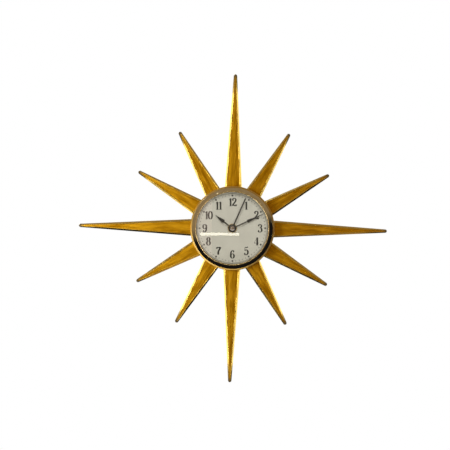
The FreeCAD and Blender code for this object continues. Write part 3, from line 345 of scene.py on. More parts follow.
# The plain finishes by slot: name, darker and lighter tone, size of the pattern in metres, range of
# roughness, then how metallic it is, the height of its bump and its clear coat where they matter.
finishes = {
    "rivet_brass": ("rivetBrass", (0.62, 0.42, 0.14), (0.78, 0.56, 0.22), 0.002, (0.25, 0.42), 1.0),
    "hub_steel": ("zincPlatedHub", (0.42, 0.40, 0.37), (0.58, 0.56, 0.52), (0.012, 0.012, 0.0006),
                  (0.32, 0.50), 1.0),
    "hanger_zinc": ("zincPlatedHanger", (0.50, 0.51, 0.52), (0.72, 0.72, 0.71), (0.006, 0.006, 0.004),
                    (0.26, 0.46), 1.0),
    "screw_steel": ("platedScrew", (0.50, 0.49, 0.46), (0.68, 0.67, 0.64), 0.0012, (0.22, 0.40), 1.0),
    "spacer_black": ("mouldedBlackSpacer", (0.012, 0.012, 0.012), (0.026, 0.026, 0.027), 0.0011,
                     (0.42, 0.60), 0.0, 0.00005),
    "case_brass": ("lacqueredBrassDrum", (0.66, 0.45, 0.15), (0.82, 0.60, 0.24), (0.030, 0.0007, 0.030),
                   (0.14, 0.24), 1.0, 0.000006),
    "gasket_rubber": ("gasketRubber", (0.016, 0.016, 0.016), (0.035, 0.034, 0.033), 0.0015, (0.45, 0.65)),
    "ring_silver": ("satinSilverRing", (0.60, 0.59, 0.55), (0.72, 0.71, 0.67), (0.004, 0.0004, 0.004),
                    (0.24, 0.36), 0.85, 0.000008),
    "dial_cream": ("mattCreamDial", (0.68, 0.665, 0.59), (0.76, 0.745, 0.665), 0.018, (0.44, 0.58),
                   0.0, 0.00001, 0.06),
    "support_grey": ("mouldedGreySupport", (0.30, 0.30, 0.30), (0.42, 0.42, 0.41), 0.002, (0.45, 0.6)),
    "fitting_brass": ("turnedBrassFitting", (0.62, 0.45, 0.18), (0.80, 0.60, 0.28),
                      (0.003, 0.0003, 0.003), (0.2, 0.34), 1.0),
    "hand_black": ("blackHandLacquer", (0.004, 0.004, 0.004), (0.012, 0.011, 0.010), 0.003,
                   (0.30, 0.44), 0.0, 0.000006),
    "cap_chrome": ("polishedCap", (0.62, 0.54, 0.52), (0.76, 0.68, 0.66), 0.002, (0.20, 0.32), 1.0,
                   0.000005),
    "movement_black": ("mouldedBlackMovement", (0.014, 0.014, 0.016), (0.034, 0.034, 0.037), 0.0009,
                       (0.38, 0.58), 0.0, 0.00005),
    "plate_ivory": ("mouldedIvoryPlate", (0.66, 0.63, 0.54), (0.80, 0.77, 0.68), 0.004, (0.40, 0.55)),
    "contact_nickel": ("nickelContact", (0.60, 0.59, 0.55), (0.78, 0.77, 0.73), (0.0007, 0.004, 0.004),
                       (0.16, 0.30), 1.0),
    "soft_iron": ("stampedIron", (0.34, 0.33, 0.32), (0.52, 0.51, 0.49), 0.0015, (0.34, 0.50), 1.0),
    "bobbin_white": ("mouldedBobbin", (0.70, 0.70, 0.67), (0.84, 0.84, 0.81), 0.002, (0.38, 0.5)),
    "chip_black": ("epoxyDrop", (0.010, 0.010, 0.010), (0.022, 0.021, 0.020), 0.002, (0.12, 0.26),
                   0.0, 0.00002, 0.4),
    "crystal_can": ("crystalCan", (0.62, 0.61, 0.57), (0.78, 0.77, 0.74), (0.0004, 0.002, 0.002),
                    (0.16, 0.28), 1.0),
    "knob_black": ("mouldedBlackKnob", (0.016, 0.016, 0.017), (0.038, 0.038, 0.039), 0.0009,
                   (0.36, 0.52), 0.0, 0.00005),
    "wheel_white": ("mouldedWheel", (0.74, 0.73, 0.67), (0.86, 0.85, 0.79), 0.0016, (0.28, 0.42)),
    "magnet_grey": ("sinteredMagnet", (0.10, 0.10, 0.11), (0.18, 0.18, 0.19), 0.0004, (0.5, 0.7), 0.6,
                    0.00006),
}
materials = {slot: makeFinish(*row) for slot, row in finishes.items()}
materials.update({
    "ray_brass": makeRayMaterial(),
    "bezel_polish": makeBezelMaterial(),
    "lens_glass": makeGlassMaterial(),
    "battery_label": makeBatteryMaterial(),
    "winding_copper": makeWindingMaterial(),
    "board_green": makeBoardMaterial(),
})
slotOf = {row["node"]: row["material_slot"] for row in frame["record"]["subparts"]}
for name, item in nodes.items():
    item.data.materials.clear()
    item.data.materials.append(materials[slotOf[name]])
print("materials made")


# mesh tools

def placeObject(name, data):
    made = bpy.data.objects.new(name, data)
    bpy.context.scene.collection.objects.link(made)
    return made


def finishedMesh(item):  # with the item's modifiers applied
    graph = bpy.context.evaluated_depsgraph_get()
    return bpy.data.meshes.new_from_object(item.evaluated_get(graph))


def addPiece(name, mesh, body, slot, replaced=(), sharp=35):
    if not mesh.materials:
        mesh.materials.append(materials[slot])
    mesh.polygons.foreach_set("use_smooth", [True] * len(mesh.polygons))
    if sharp:
        mesh.set_sharp_from_angle(angle=math.radians(sharp))
    piece = placeObject(name, mesh)
    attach(piece, body)
    if replaced:
        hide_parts(*replaced)
    return piece


def toMesh(made, name):
    bmesh.ops.recalc_face_normals(made, faces=made.faces)
    mesh = bpy.data.meshes.new(name)
    made.to_mesh(mesh)
    made.free()
    return mesh


nearAxis = 0.00001  # an outline that closes on the axis stops this far from it


# Corners are (radius, forward, fillet). Each fillet becomes an arc that touches both sides.
def roundedOutline(corners, steps=6):
    outline = []
    count = len(corners)
    for number, (radius, forward, fillet) in enumerate(corners):
        here = Vector((radius, forward))
        if not fillet:
            outline.append(here)
            continue
        before = (Vector(corners[number - 1][:2]) - here).normalized()
        after = (Vector(corners[(number + 1) % count][:2]) - here).normalized()
        half = before.angle(after) / 2
        middle = here + (before + after).normalized() * fillet / math.sin(half)
        first = here + before * fillet / math.tan(half) - middle
        last = here + after * fillet / math.tan(half) - middle
        turn = first.angle_signed(last)
        for step in range(steps + 1):
            arm = first.copy()
            arm.rotate(Matrix.Rotation(-turn * step / steps, 2))
            outline.append(middle + arm)
    return outline


def turnedMesh(name, corners, segments=240, steps=6):
    outline = roundedOutline(corners, steps)
    made = bmesh.new()
    rings = []
    for number in range(segments):
        angle = 2 * math.pi * number / segments
        ring = []
        for point in outline:
            place = (point.x * math.sin(angle), -point.y, point.x * math.cos(angle))
            ring.append(made.verts.new(place))
        rings.append(ring)
    for number, ring in enumerate(rings):
        following = rings[(number + 1) % segments]
        for index in range(len(outline)):
            after = (index + 1) % len(outline)
            made.faces.new((ring[index], ring[after], following[after], following[index]))
    bmesh.ops.remove_doubles(made, verts=made.verts, dist=1e-7)
    return toMesh(made, name)


# A CAD node's own shape with merged corners and small rounded edges.
def refinedMesh(node, bevel, segments=2):
    made = mergedCopy(node)
    bmesh.ops.dissolve_limit(made, angle_limit=math.radians(0.5), verts=made.verts, edges=made.edges)
    mesh = bpy.data.meshes.new(node + "Refined")
    made.to_mesh(mesh)
    made.free()
    carrier = placeObject("carrier", mesh)
    rounding = carrier.modifiers.new("rounding", "BEVEL")
    rounding.width = bevel
    rounding.segments = segments
    rounding.limit_method = "ANGLE"
    rounding.angle_limit = math.radians(40)
    result = finishedMesh(carrier)
    bpy.data.objects.remove(carrier)
    result.materials.clear()
    return result


# geometry node tools

def startTree(name, sizes, withMesh=False):
    tree = bpy.data.node_groups.new(name, "GeometryNodeTree")
    tree.interface.new_socket("Geometry", in_out="OUTPUT", socket_type="NodeSocketGeometry")
    if withMesh:
        tree.interface.new_socket("Geometry", in_out="INPUT", socket_type="NodeSocketGeometry")
    for label, default in sizes.items():
        kind = "NodeSocketInt" if isinstance(default, int) else "NodeSocketFloat"
        tree.interface.new_socket(label, in_out="INPUT", socket_type=kind).default_value = default
    source = tree.nodes.new("NodeGroupInput")
    return tree, source.outputs


def endTree(tree, geometry, material):
    realized = addNode(tree, "GeometryNodeRealizeInstances", Geometry=geometry)
    painted = addNode(tree, "GeometryNodeSetMaterial", Geometry=realized.outputs["Geometry"],
                      Material=material)
    output = tree.nodes.new("NodeGroupOutput")
    tree.links.new(painted.outputs["Geometry"], output.inputs["Geometry"])


def grownMesh(name, tree, values=None, base=None):
    carrier = placeObject("carrier", base or bpy.data.meshes.new("empty"))
    modifier = carrier.modifiers.new("growth", "NODES")
    modifier.node_group = tree
    sockets = {s.name: s.identifier for s in tree.interface.items_tree if s.in_out == "INPUT"}
    for label, number in (values or {}).items():
        modifier[sockets[label]] = number
    carrier.data.update()
    mesh = finishedMesh(carrier)
    mesh.name = name
    bpy.data.objects.remove(carrier)
    return mesh


def smoothStep(tree, driver, low, high):
    return span(tree, driver, 0.0, 1.0, low, high, "SMOOTHSTEP")


# sunburst

rayShape = {
    "Flank": 0.0020,       # how far the bevelled flank runs in from the ray's edge
    "Flank Drop": 0.0016,
    "Rim": 0.0008,
    "Tip": 0.00235,        # radius of the round end
    "Field Depth": 0.00032,
    "Crown": 0.00024,
    "Grain Depth": 0.00007,
    "Worn Tip": 0.0085,
    "Across": 44,
    "Along": 110,
}
rayRule = {
    "neighbourGap": 0.00072,
    "seedStep": 3.7,
    "crowding": 1.5,             # draws the rows together towards the tip
    "flankMost": 0.45,           # of half the ray's width
    "rimInner": 0.8,             # share of the rim's reach at which the field begins
    "fieldEnd": 0.0012,
    "grainScale": (650, 55, 1),
    "merge": 0.00001,
}


# A square tube is swept along a line one metre long, then each of its points is placed by the
# ray's own rule: x runs across the ray, y from its front to its back, z along it.
def makeRayTree():
    tree, given = startTree("rayGrowth", {
        "Reach": 0.21, "Root": 0.0465, "Root Half": 0.012, "Front": -0.009, "Back": -0.0065,
        "Bearing": 0.0, "Seed": 0.0, **rayShape,
    })
    plus, minus, times = arithmetic(tree)
    line = addNode(tree, "GeometryNodeCurvePrimitiveLine", End=(0, 0, 1))
    rows = addNode(tree, "GeometryNodeResampleCurve", Curve=line.outputs["Curve"], Count=given["Along"])
    square = addNode(tree, "GeometryNodeCurvePrimitiveQuadrilateral", Width=2.0, Height=2.0)
    profile = addNode(tree, "GeometryNodeResampleCurve", Curve=square.outputs["Curve"],
                      Count=times(given["Across"], 4))
    swept = addNode(tree, "GeometryNodeCurveToMesh", Curve=rows.outputs["Curve"],
                    Profile_Curve=profile.outputs["Curve"], Fill_Caps=True)
    place = addNode(tree, "ShaderNodeSeparateXYZ",
                    Vector=addNode(tree, "GeometryNodeInputPosition").outputs[0]).outputs

    # along the ray: how wide it is, with a round end
    remaining = calc(tree, "POWER", calc(tree, "MAXIMUM", minus(1.0, place["Z"]), 0.0),
                     rayRule["crowding"])
    along = minus(given["Reach"], times(minus(given["Reach"], given["Root"]), remaining))
    middle = minus(given["Reach"], given["Tip"])
    share = calc(tree, "DIVIDE", minus(along, given["Root"]), minus(middle, given["Root"]))
    straight = plus(given["Root Half"], times(minus(given["Tip"], given["Root Half"]), share))
    beyond = calc(tree, "MAXIMUM", minus(along, middle), 0.0)
    chord = minus(calc(tree, "POWER", given["Tip"], 2), calc(tree, "POWER", beyond, 2))
    endHalf = calc(tree, "MINIMUM", straight, calc(tree, "SQRT", calc(tree, "MAXIMUM", chord, 0.0)))
    inTip = calc(tree, "GREATER_THAN", along, middle)
    half = plus(times(endHalf, inTip), times(straight, minus(1.0, inTip)))

    # across the ray: flank, rim and sunk field
    side = calc(tree, "SINE", times(place["X"], math.pi / 2))
    edge = times(minus(1.0, calc(tree, "ABSOLUTE", side)), half)
    flank = calc(tree, "MINIMUM", given["Flank"], times(half, rayRule["flankMost"]))
    climbed = calc(tree, "MINIMUM", calc(tree, "DIVIDE", edge, flank), 1.0)
    drop = times(minus(1.0, climbed), given["Flank Drop"])
    rimEnd = plus(flank, given["Rim"])
    field = times(smoothStep(tree, edge, times(rimEnd, rayRule["rimInner"]), rimEnd),
                  smoothStep(tree, minus(middle, along), 0.0, rayRule["fieldEnd"]))
    crown = times(given["Crown"], minus(1.0, calc(tree, "POWER", side, 2)))
    across = times(side, half)
    grainPlace = addNode(tree, "ShaderNodeCombineXYZ", X=across, Y=along, Z=given["Seed"]).outputs[0]
    stretched = addNode(tree, "ShaderNodeVectorMath", {"operation": "MULTIPLY"}, Vector=grainPlace)
    stretched.inputs[1].default_value = rayRule["grainScale"]
    relief = addNode(tree, "ShaderNodeTexNoise", Vector=stretched.outputs[0], Scale=1.0, Detail=2.0)
    grain = times(minus(relief.outputs[0], 0.5), given["Grain Depth"])
    sunk = times(plus(minus(given["Field Depth"], crown), grain), field)

    # from front to back
    front = plus(given["Front"], plus(drop, sunk))
    toBack = times(plus(place["Y"], 1.0), 0.5)
    depth = plus(times(front, minus(1.0, toBack)), times(given["Back"], toBack))
    position = addNode(tree, "ShaderNodeCombineXYZ", X=across, Y=depth, Z=along).outputs[0]

    isFront = calc(tree, "LESS_THAN", place["Y"], -0.99)
    worn = minus(1.0, smoothStep(tree, minus(given["Reach"], along), 0.0, given["Worn Tip"]))
    shell = swept.outputs["Mesh"]
    for name, kind, value in (("grain", "FLOAT_VECTOR", grainPlace),
                              ("field", "FLOAT", times(field, isFront)), ("tip", "FLOAT", worn)):
        shell = addNode(tree, "GeometryNodeStoreNamedAttribute", {"data_type": kind, "domain": "POINT"},
                        Geometry=shell, Name=name, Value=value).outputs["Geometry"]
    shaped = addNode(tree, "GeometryNodeSetPosition", Geometry=shell, Position=position)
    merged = addNode(tree, "GeometryNodeMergeByDistance", Geometry=shaped.outputs["Geometry"],
                     Distance=rayRule["merge"])
    turn = addNode(tree, "ShaderNodeCombineXYZ", Y=given["Bearing"]).outputs[0]
    turned = addNode(tree, "GeometryNodeTransform", Geometry=merged.outputs["Geometry"], Rotation=turn)
    endTree(tree, turned.outputs["Geometry"], materials["ray_brass"])
    return tree


def makeRays():
    tree = makeRayTree()
    root = radii("wall_spacer")[1]
    rays = sorted(name for name in nodes if name.startswith("ray_") and name[4:].isdigit())
    rootHalf = root * math.tan(math.pi / len(rays)) - rayRule["neighbourGap"] / 2
    for number, name in enumerate(rays):
        back, front = forwardSpan(name)
        mesh = grownMesh(name + "Mesh", tree, {
            "Reach": radii(name)[1], "Root": root, "Root Half": rootHalf, "Front": -front, "Back": -back,
            "Bearing": bearing(name), "Seed": rayRule["seedStep"] * number,
        })
        addPiece(name.replace("ray_", "starRay"), mesh, "clock_case", "ray_brass", [name], sharp=38)


makeRays()
print("sunburst made")


# case, bezel, ring

caseShape = {"wall": 0.0008, "edgeRound": 0.0005, "mouthRound": 0.0002, "insideRound": 0.0003}
ringShape = {
    "footDepth": 0.0008, "shelf": 0.0015, "top": 0.0010,
    "sightRound": 0.00015, "footRound": 0.0002, "shelfRound": 0.0003,
}
bezelShape = {
    "clearance": 0.0001,
    "skirtRound": 0.0001,
    "edgeRound": 0.0003,
    "skirtWall": 0.0007,
    "flangeDepth": 0.0015,
    "flangeRound": 0.0009,
    "sideInset": 0.0021,
    "footRound": 0.0003,
    "sideLean": 0.0003,
    "shoulderRun": 0.0042,
    "shoulderRise": 0.0030,
    "shoulderRound": 0.0003,
    "insideLean": 0.0011,
    "lipHeight": 0.0004,
    "wall": 0.0010,
    "lipRound": 0.00012,
}


def makeDrum():
    inner, outer = radii("case_drum")
    back, front = forwardSpan("case_drum")
    wall, edge, mouth = caseShape["wall"], caseShape["edgeRound"], caseShape["mouthRound"]
    mesh = turnedMesh("drumMesh", [
        (inner, back, mouth),
        (outer, back, edge),
        (outer, front, 0),
        (outer - wall, front, 0),
        (outer - wall, back + wall, caseShape["insideRound"]),
        (inner, back + wall, mouth),
    ])
    addPiece("caseDrum", mesh, "clock_case", "case_brass", ["case_drum"])


def makeBezel():
    sight, edge = radii("bezel")
    back, front = forwardSpan("bezel")
    gap = bezelShape["clearance"]
    seat = radii("glass")[1] + gap
    glassFront = forwardSpan("glass")[1]
    ringFront = forwardSpan("inner_ring")[1]
    caseFront = forwardSpan("case_drum")[1]
    flangeFront = caseFront + bezelShape["flangeDepth"]
    foot = edge - bezelShape["sideInset"]
    side = foot - bezelShape["sideLean"]
    shoulderTop = side - bezelShape["shoulderRun"]
    shoulderFront = front - bezelShape["lipHeight"]
    skirt = radii("case_drum")[1] - caseShape["wall"] - gap
    skirtInside, skirtRound = skirt - bezelShape["skirtWall"], bezelShape["skirtRound"]
    inside = foot - bezelShape["wall"]
    lip = bezelShape["lipRound"]
    ringBack = ringFront - gap
    mesh = turnedMesh("bezelMesh", [
        (skirtInside, back, skirtRound),
        (skirt, back, skirtRound),
        (skirt, caseFront, 0),
        (edge, caseFront, bezelShape["edgeRound"]),
        (edge, flangeFront, bezelShape["flangeRound"]),
        (foot, flangeFront, bezelShape["footRound"]),
        (side, shoulderFront - bezelShape["shoulderRise"], bezelShape["shoulderRound"]),
        (shoulderTop, shoulderFront, lip),
        (shoulderTop - bezelShape["lipHeight"], front, lip),
        (sight, front, lip),
        (sight, glassFront, 0),
        (seat, glassFront, 0),
        (seat, ringBack, 0),
        (inside - bezelShape["insideLean"], ringBack, 0),
        (inside, flangeFront, 0),
        (skirtInside, caseFront, 0),
    ], segments=288)
    addPiece("turnedBezel", mesh, "clock_case", "bezel_polish", ["bezel"])


def makeInnerRing():
    sight, foot = radii("inner_ring")
    back, front = forwardSpan("inner_ring")
    rim = radii("glass")[1]
    shelf = back + ringShape["footDepth"]
    mesh = turnedMesh("innerRingMesh", [
        (sight, back, ringShape["sightRound"]),
        (foot, back, 0),
        (foot, shelf, ringShape["footRound"]),
        (sight + ringShape["shelf"], shelf, ringShape["shelfRound"]),
        (rim, front, 0),
        (rim - ringShape["top"], front, ringShape["footRound"]),
    ])
    addPiece("sightRing", mesh, "clock_case", "ring_silver", ["inner_ring"])


makeDrum()
makeBezel()
makeInnerRing()
print("case made")


# dial printing

dialPrint = {
    "inkHeight": 0.00006,
    "numeralHeight": 0.0110,
    "numeralAcross": 0.0374,   # the numerals stand on an oval, wider than tall
    "numeralUp": 0.0353,
    "thick": 0.205,            # stroke widths, in numeral heights
    "thin": 0.062,
    "swell": 1.6,              # how fast a stroke thins as it turns sideways
    "serif": 0.02,
    "pairSqueeze": 0.88,       # the figures of 10, 11 and 12 stand closer
    "trackRadius": 0.0443,
    "tickLength": 0.0015,
    "tickWidth": 0.00055,
    "diamond": 0.00150,
}

# Numeral shapes on a height of 1: curves through points, ovals, flat serifs and round ends.
digitShapes = {
    "0": {"width": 0.60, "ovals": [(0.30, 0.50, 0.215, 0.475)]},
    "1": {
        "width": 0.44,
        "curves": [
            ([(0.24, 0.02), (0.24, 0.50), (0.24, 0.97)], 1.0),
            ([(0.06, 0.83), (0.15, 0.87), (0.22, 0.96)], 0.5),
        ],
        "serifs": [(0.06, 0.42, 0.02)],
    },
    "2": {
        "width": 0.60,
        "curves": [
            ([(0.12, 0.74), (0.15, 0.91), (0.31, 0.975), (0.47, 0.88), (0.48, 0.70), (0.36, 0.47),
              (0.16, 0.22), (0.08, 0.06)], 0.95),
            ([(0.08, 0.08), (0.22, 0.14), (0.38, 0.06), (0.50, 0.07), (0.55, 0.22)], 1.0),
        ],
        "dots": [(0.145, 0.745, 0.085)],
        "flat": 0.10,
    },
    "3": {
        "width": 0.58,
        "curves": [
            ([(0.11, 0.80), (0.17, 0.93), (0.30, 0.975), (0.44, 0.88), (0.44, 0.68), (0.34, 0.57),
              (0.22, 0.545)], 0.9),
            ([(0.22, 0.545), (0.38, 0.52), (0.49, 0.38), (0.48, 0.17), (0.32, 0.025), (0.16, 0.05),
              (0.08, 0.17)], 1.0),
        ],
        "dots": [(0.135, 0.79, 0.075), (0.115, 0.195, 0.085)],
    },
    "4": {
        "width": 0.62,
        "curves": [
            ([(0.42, 0.02), (0.42, 0.50), (0.42, 0.97)], 1.0),
            ([(0.40, 0.95), (0.22, 0.62), (0.05, 0.29)], 0.18),
            ([(0.04, 0.28), (0.30, 0.28), (0.60, 0.28)], 1.0),
        ],
        "serifs": [(0.27, 0.57, 0.02)],
        "flat": 0.055,
    },
    "5": {
        "width": 0.58,
        "curves": [
            ([(0.13, 0.95), (0.12, 0.75), (0.11, 0.53)], 0.25),
            ([(0.12, 0.92), (0.26, 0.90), (0.40, 0.93), (0.48, 0.985)], 1.0),
            ([(0.11, 0.53), (0.23, 0.615), (0.40, 0.58), (0.49, 0.40), (0.47, 0.16), (0.32, 0.025),
              (0.15, 0.05), (0.08, 0.16)], 1.0),
        ],
        "dots": [(0.115, 0.185, 0.08)],
        "flat": 0.10,
    },
    "6": {
        "width": 0.60,
        "curves": [
            ([(0.47, 0.83), (0.39, 0.95), (0.27, 0.94), (0.14, 0.76), (0.095, 0.45), (0.115, 0.22)], 0.95),
        ],
        "ovals": [(0.305, 0.295, 0.20, 0.27)],
        "dots": [(0.445, 0.80, 0.072)],
    },
    "7": {
        "width": 0.58,
        "curves": [
            ([(0.08, 0.76), (0.10, 0.88), (0.24, 0.93), (0.40, 0.90), (0.53, 0.955)], 1.0),
            ([(0.53, 0.95), (0.40, 0.68), (0.27, 0.38), (0.24, 0.03)], 1.1),
        ],
        "flat": 0.12,
    },
    "8": {
        "width": 0.60,
        "ovals": [(0.30, 0.755, 0.165, 0.215), (0.30, 0.285, 0.205, 0.26)],
    },
    "9": {
        "width": 0.60,
        "curves": [
            ([(0.13, 0.17), (0.21, 0.05), (0.33, 0.06), (0.46, 0.24), (0.505, 0.55), (0.485, 0.78)], 0.95),
        ],
        "ovals": [(0.295, 0.705, 0.20, 0.27)],
        "dots": [(0.155, 0.20, 0.072)],
    },
}


def smoothPath(points, steps=9):
    path = []
    padded = [points[0], *points, points[-1]]
    for number in range(1, len(padded) - 2):
        a, b, c, d = (Vector(p) for p in padded[number - 1:number + 3])
        for step in range(steps):
            t = step / steps
            path.append(0.5 * (2 * b + (c - a) * t + (2 * a - 5 * b + 4 * c - d) * t * t
                               + (3 * b - a - 3 * c + d) * t ** 3))
    path.append(Vector(points[-1]))
    return path


def ovalPath(x, y, across, up, steps=48):
    turns = [2 * math.pi * n / steps for n in range(steps)]
    return [Vector((x + across * math.cos(turn), y + up * math.sin(turn))) for turn in turns]


# The pen is broad where it moves up or down and thin where it moves sideways.
def penWidth(direction, weight, flat):
    upright = abs(direction.y) / max(direction.length, 1e-9)
    thin = flat or dialPrint["thin"]
    return thin + (dialPrint["thick"] * weight - thin) * upright ** dialPrint["swell"]


def addSlab(made, front, back, pairs, closed=False):
    # pairs: the stroke's two edges at each step along it
    rows = [[made.verts.new((p.x, y, p.y)) for p in pair for y in (front, back)] for pair in pairs]
    count = len(rows)
    for number in range(count if closed else count - 1):
        a, b = rows[number], rows[(number + 1) % count]
        for first, second in ((0, 2), (2, 3), (3, 1), (1, 0)):
            made.faces.new((a[first], b[first], b[second], a[second]))
    if not closed:
        for row in (rows[0], rows[-1]):
            made.faces.new((row[0], row[2], row[3], row[1]))


def strokePairs(path, weight, flat, closed):
    pairs = []
    count = len(path)
    for number, point in enumerate(path):
        before = path[number - 1] if closed or number else point
        after = path[(number + 1) % count] if closed or number < count - 1 else point
        direction = after - before
        normal = Vector((-direction.y, direction.x)).normalized()
        width = penWidth(direction, weight, 0 if closed else flat)
        pairs.append((point + normal * width / 2, point - normal * width / 2))
    return pairs


def addDigit(made, shape, left, bottom, height, front, back):
    def placed(rows):
        return [[Vector((left + p.x * height, bottom + p.y * height)) for p in row] for row in rows]

    for points, weight in shape.get("curves", []):
        flat = min(shape.get("flat", 0), weight)
        addSlab(made, front, back, placed(strokePairs(smoothPath(points), weight, flat, False)))
    for oval in shape.get("ovals", []):
        addSlab(made, front, back, placed(strokePairs(ovalPath(*oval), 1.0, 0, True)), closed=True)
    for start, end, at in shape.get("serifs", []):
        low, high = at - dialPrint["serif"], at + dialPrint["serif"]
        addSlab(made, front, back, placed([(Vector((x, high)), Vector((x, low))) for x in (start, end)]))
    for x, y, size in shape.get("dots", []):
        corners = placed([ovalPath(x, y, size, size, 24)])[0]
        rims = [[made.verts.new((c.x, depth, c.y)) for c in corners] for depth in (front, back)]
        for rim in rims:
            made.faces.new(rim)
        for n in range(24):
            m = (n + 1) % 24
            made.faces.new((rims[0][n], rims[0][m], rims[1][m], rims[1][n]))


def makeNumerals():
    made = bmesh.new()
    dialFront = -forwardSpan("dial")[1]
    front = dialFront - dialPrint["inkHeight"]
    height = dialPrint["numeralHeight"]
    for hour in range(1, 13):
        angle = math.radians(30 * hour)
        x = dialPrint["numeralAcross"] * math.sin(angle)
        z = dialPrint["numeralUp"] * math.cos(angle)
        digits = [digitShapes[d] for d in str(hour)]
        squeeze = dialPrint["pairSqueeze"] if len(digits) > 1 else 1.0
        total = sum(d["width"] for d in digits) * height * squeeze
        left = x - total / 2
        for digit in digits:
            addDigit(made, digit, left, z - height / 2, height, front, dialFront)
            left += digit["width"] * height * squeeze
    addPiece("dialNumerals", toMesh(made, "numeralMesh"), "clock_case", "hand_black", sharp=30)


def makeTrackTree():
    tree, given = startTree("minuteTrack", {
        "Radius": dialPrint["trackRadius"], "Front": -0.0255, "Ink": dialPrint["inkHeight"],
        "Tick Length": dialPrint["tickLength"], "Tick Width": dialPrint["tickWidth"],
        "Diamond": dialPrint["diamond"], "Minutes": 60,
    })
    circle = addNode(tree, "GeometryNodeMeshCircle", Vertices=given["Minutes"], Radius=given["Radius"])
    index = addNode(tree, "GeometryNodeInputIndex").outputs[0]
    isHour = calc(tree, "LESS_THAN", calc(tree, "MODULO", index, 5), 0.5)
    isMinute = calc(tree, "SUBTRACT", 1.0, isHour)
    place = addNode(tree, "GeometryNodeInputPosition").outputs[0]
    heading = addNode(tree, "FunctionNodeAlignRotationToVector", {"axis": "X"}, Vector=place).outputs[0]
    size = addNode(tree, "ShaderNodeCombineXYZ", X=given["Tick Length"], Y=given["Tick Width"],
                   Z=given["Ink"]).outputs[0]
    tick = addNode(tree, "GeometryNodeMeshCube", Size=size)
    diamond = addNode(tree, "GeometryNodeMeshCylinder", Vertices=4, Radius=given["Diamond"],
                      Depth=given["Ink"])
    joined = addNode(tree, "GeometryNodeJoinGeometry")
    for chosen, stamp in ((isMinute, tick), (isHour, diamond)):
        marks = addNode(tree, "GeometryNodeInstanceOnPoints", Points=circle.outputs["Mesh"],
                        Selection=chosen, Instance=stamp.outputs["Mesh"], Rotation=heading)
        tree.links.new(marks.outputs["Instances"], joined.inputs["Geometry"])
    forward = calc(tree, "SUBTRACT", given["Front"], calc(tree, "MULTIPLY", given["Ink"], 0.5))
    stood = addNode(tree, "GeometryNodeTransform", Geometry=joined.outputs["Geometry"],
                    Rotation=(math.pi / 2, 0, 0),
                    Translation=addNode(tree, "ShaderNodeCombineXYZ", Y=forward).outputs[0])
    endTree(tree, stood.outputs["Geometry"], materials["hand_black"])
    return tree


def makeMinuteTrack():
    mesh = grownMesh("trackMesh", makeTrackTree(), {"Front": -forwardSpan("dial")[1]})
    addPiece("minuteTrack", mesh, "clock_case", "hand_black", sharp=30)


makeNumerals()
makeMinuteTrack()
print("dial printed")


# hands

hourShape = {
    "boss": 0.0056, "stem": 0.00075, "bulgeAt": 0.0163, "bulge": 0.0024, "shoulder": 0.0115,
    "reach": 0.0287, "point": 0.0003, "bow": 0.00022, "neck": 0.0012, "bevel": 0.00016,
}
minuteShape = {
    "boss": 0.00476, "stem": 0.00072, "bulgeAt": 0.0237, "bulge": 0.0020, "shoulder": 0.0185,
    "reach": 0.0450, "point": 0.0003, "bow": 0.00022, "neck": 0.0012, "bevel": 0.00016,
}
secondShape = {
    "boss": 0.0020, "half": 0.00095, "point": 0.00085, "tail": 0.0050, "thickness": 0.0003,
    "bevel": 0.00008,
}
capShape = {  # shares of the cap's depth and radius, then its fillets
    "sideUp": 0.35, "crownAcross": 0.72, "crownUp": 0.86,
    "footRound": 0.00008, "sideRound": 0.00018, "crownRound": 0.0006,
}


def flatMesh(name, outline, turn, low, high, bevel):
    made = bmesh.new()
    corners = [made.verts.new((x, -low, z)) for x, z in outline]
    face = made.faces.new(corners)
    grown = bmesh.ops.extrude_face_region(made, geom=[face])
    moved = [item for item in grown["geom"] if isinstance(item, bmesh.types.BMVert)]
    bmesh.ops.translate(made, verts=moved, vec=(0, low - high, 0))
    bmesh.ops.recalc_face_normals(made, faces=made.faces)
    front = [e for e in made.edges if all(abs(v.co.y + high) < 1e-7 for v in e.verts)]
    bmesh.ops.bevel(made, geom=front, offset=bevel, segments=2, profile=0.6, affect="EDGES")
    bmesh.ops.rotate(made, verts=made.verts, matrix=Matrix.Rotation(turn, 3, "Y"))
    return toMesh(made, name)


def spadeOutline(shape):
    start = math.asin(shape["stem"] / shape["boss"])
    boss = [start + (math.pi - start) * n / 20 for n in range(21)]
    right = [(shape["boss"] * math.sin(a), shape["boss"] * math.cos(a)) for a in boss]
    at, bulge, stem = shape["bulgeAt"], shape["bulge"], shape["stem"]
    blade = [(shape["point"], shape["reach"])]
    tip = Vector((shape["point"], shape["reach"]))
    cheek = Vector((bulge * 0.97, at + bulge * 0.25))
    for n in range(1, 10):  # hollow sides from the point down to the round cheeks
        t = n / 10
        bow = math.sin(math.pi * t) * shape["bow"]
        spot = tip.lerp(cheek, t)
        blade.append((spot.x - bow, spot.y))
    cheeks = [math.radians(14 - 12 * n) for n in range(9)]
    blade += [(bulge * math.cos(a), at + bulge * math.sin(a)) for a in cheeks]
    blade += [(stem * 1.25, shape["shoulder"] + shape["neck"]), (stem, shape["shoulder"])]
    right = blade + right
    left = [(-x, z) for x, z in reversed(right) if x > 1e-6]
    return right + left


def secondOutline(reach):
    half, boss, tail = secondShape["half"], secondShape["boss"], secondShape["tail"]
    start = math.asin(half / boss)
    arc = [start + (math.pi - 2 * start) * n / 14 for n in range(15)]
    right = [(secondShape["point"], reach)]
    right += [(boss * math.sin(a), boss * math.cos(a)) for a in arc]
    right += [(half, -tail + half), (half * 0.5, -tail)]
    return right + [(-x, z) for x, z in reversed(right)]


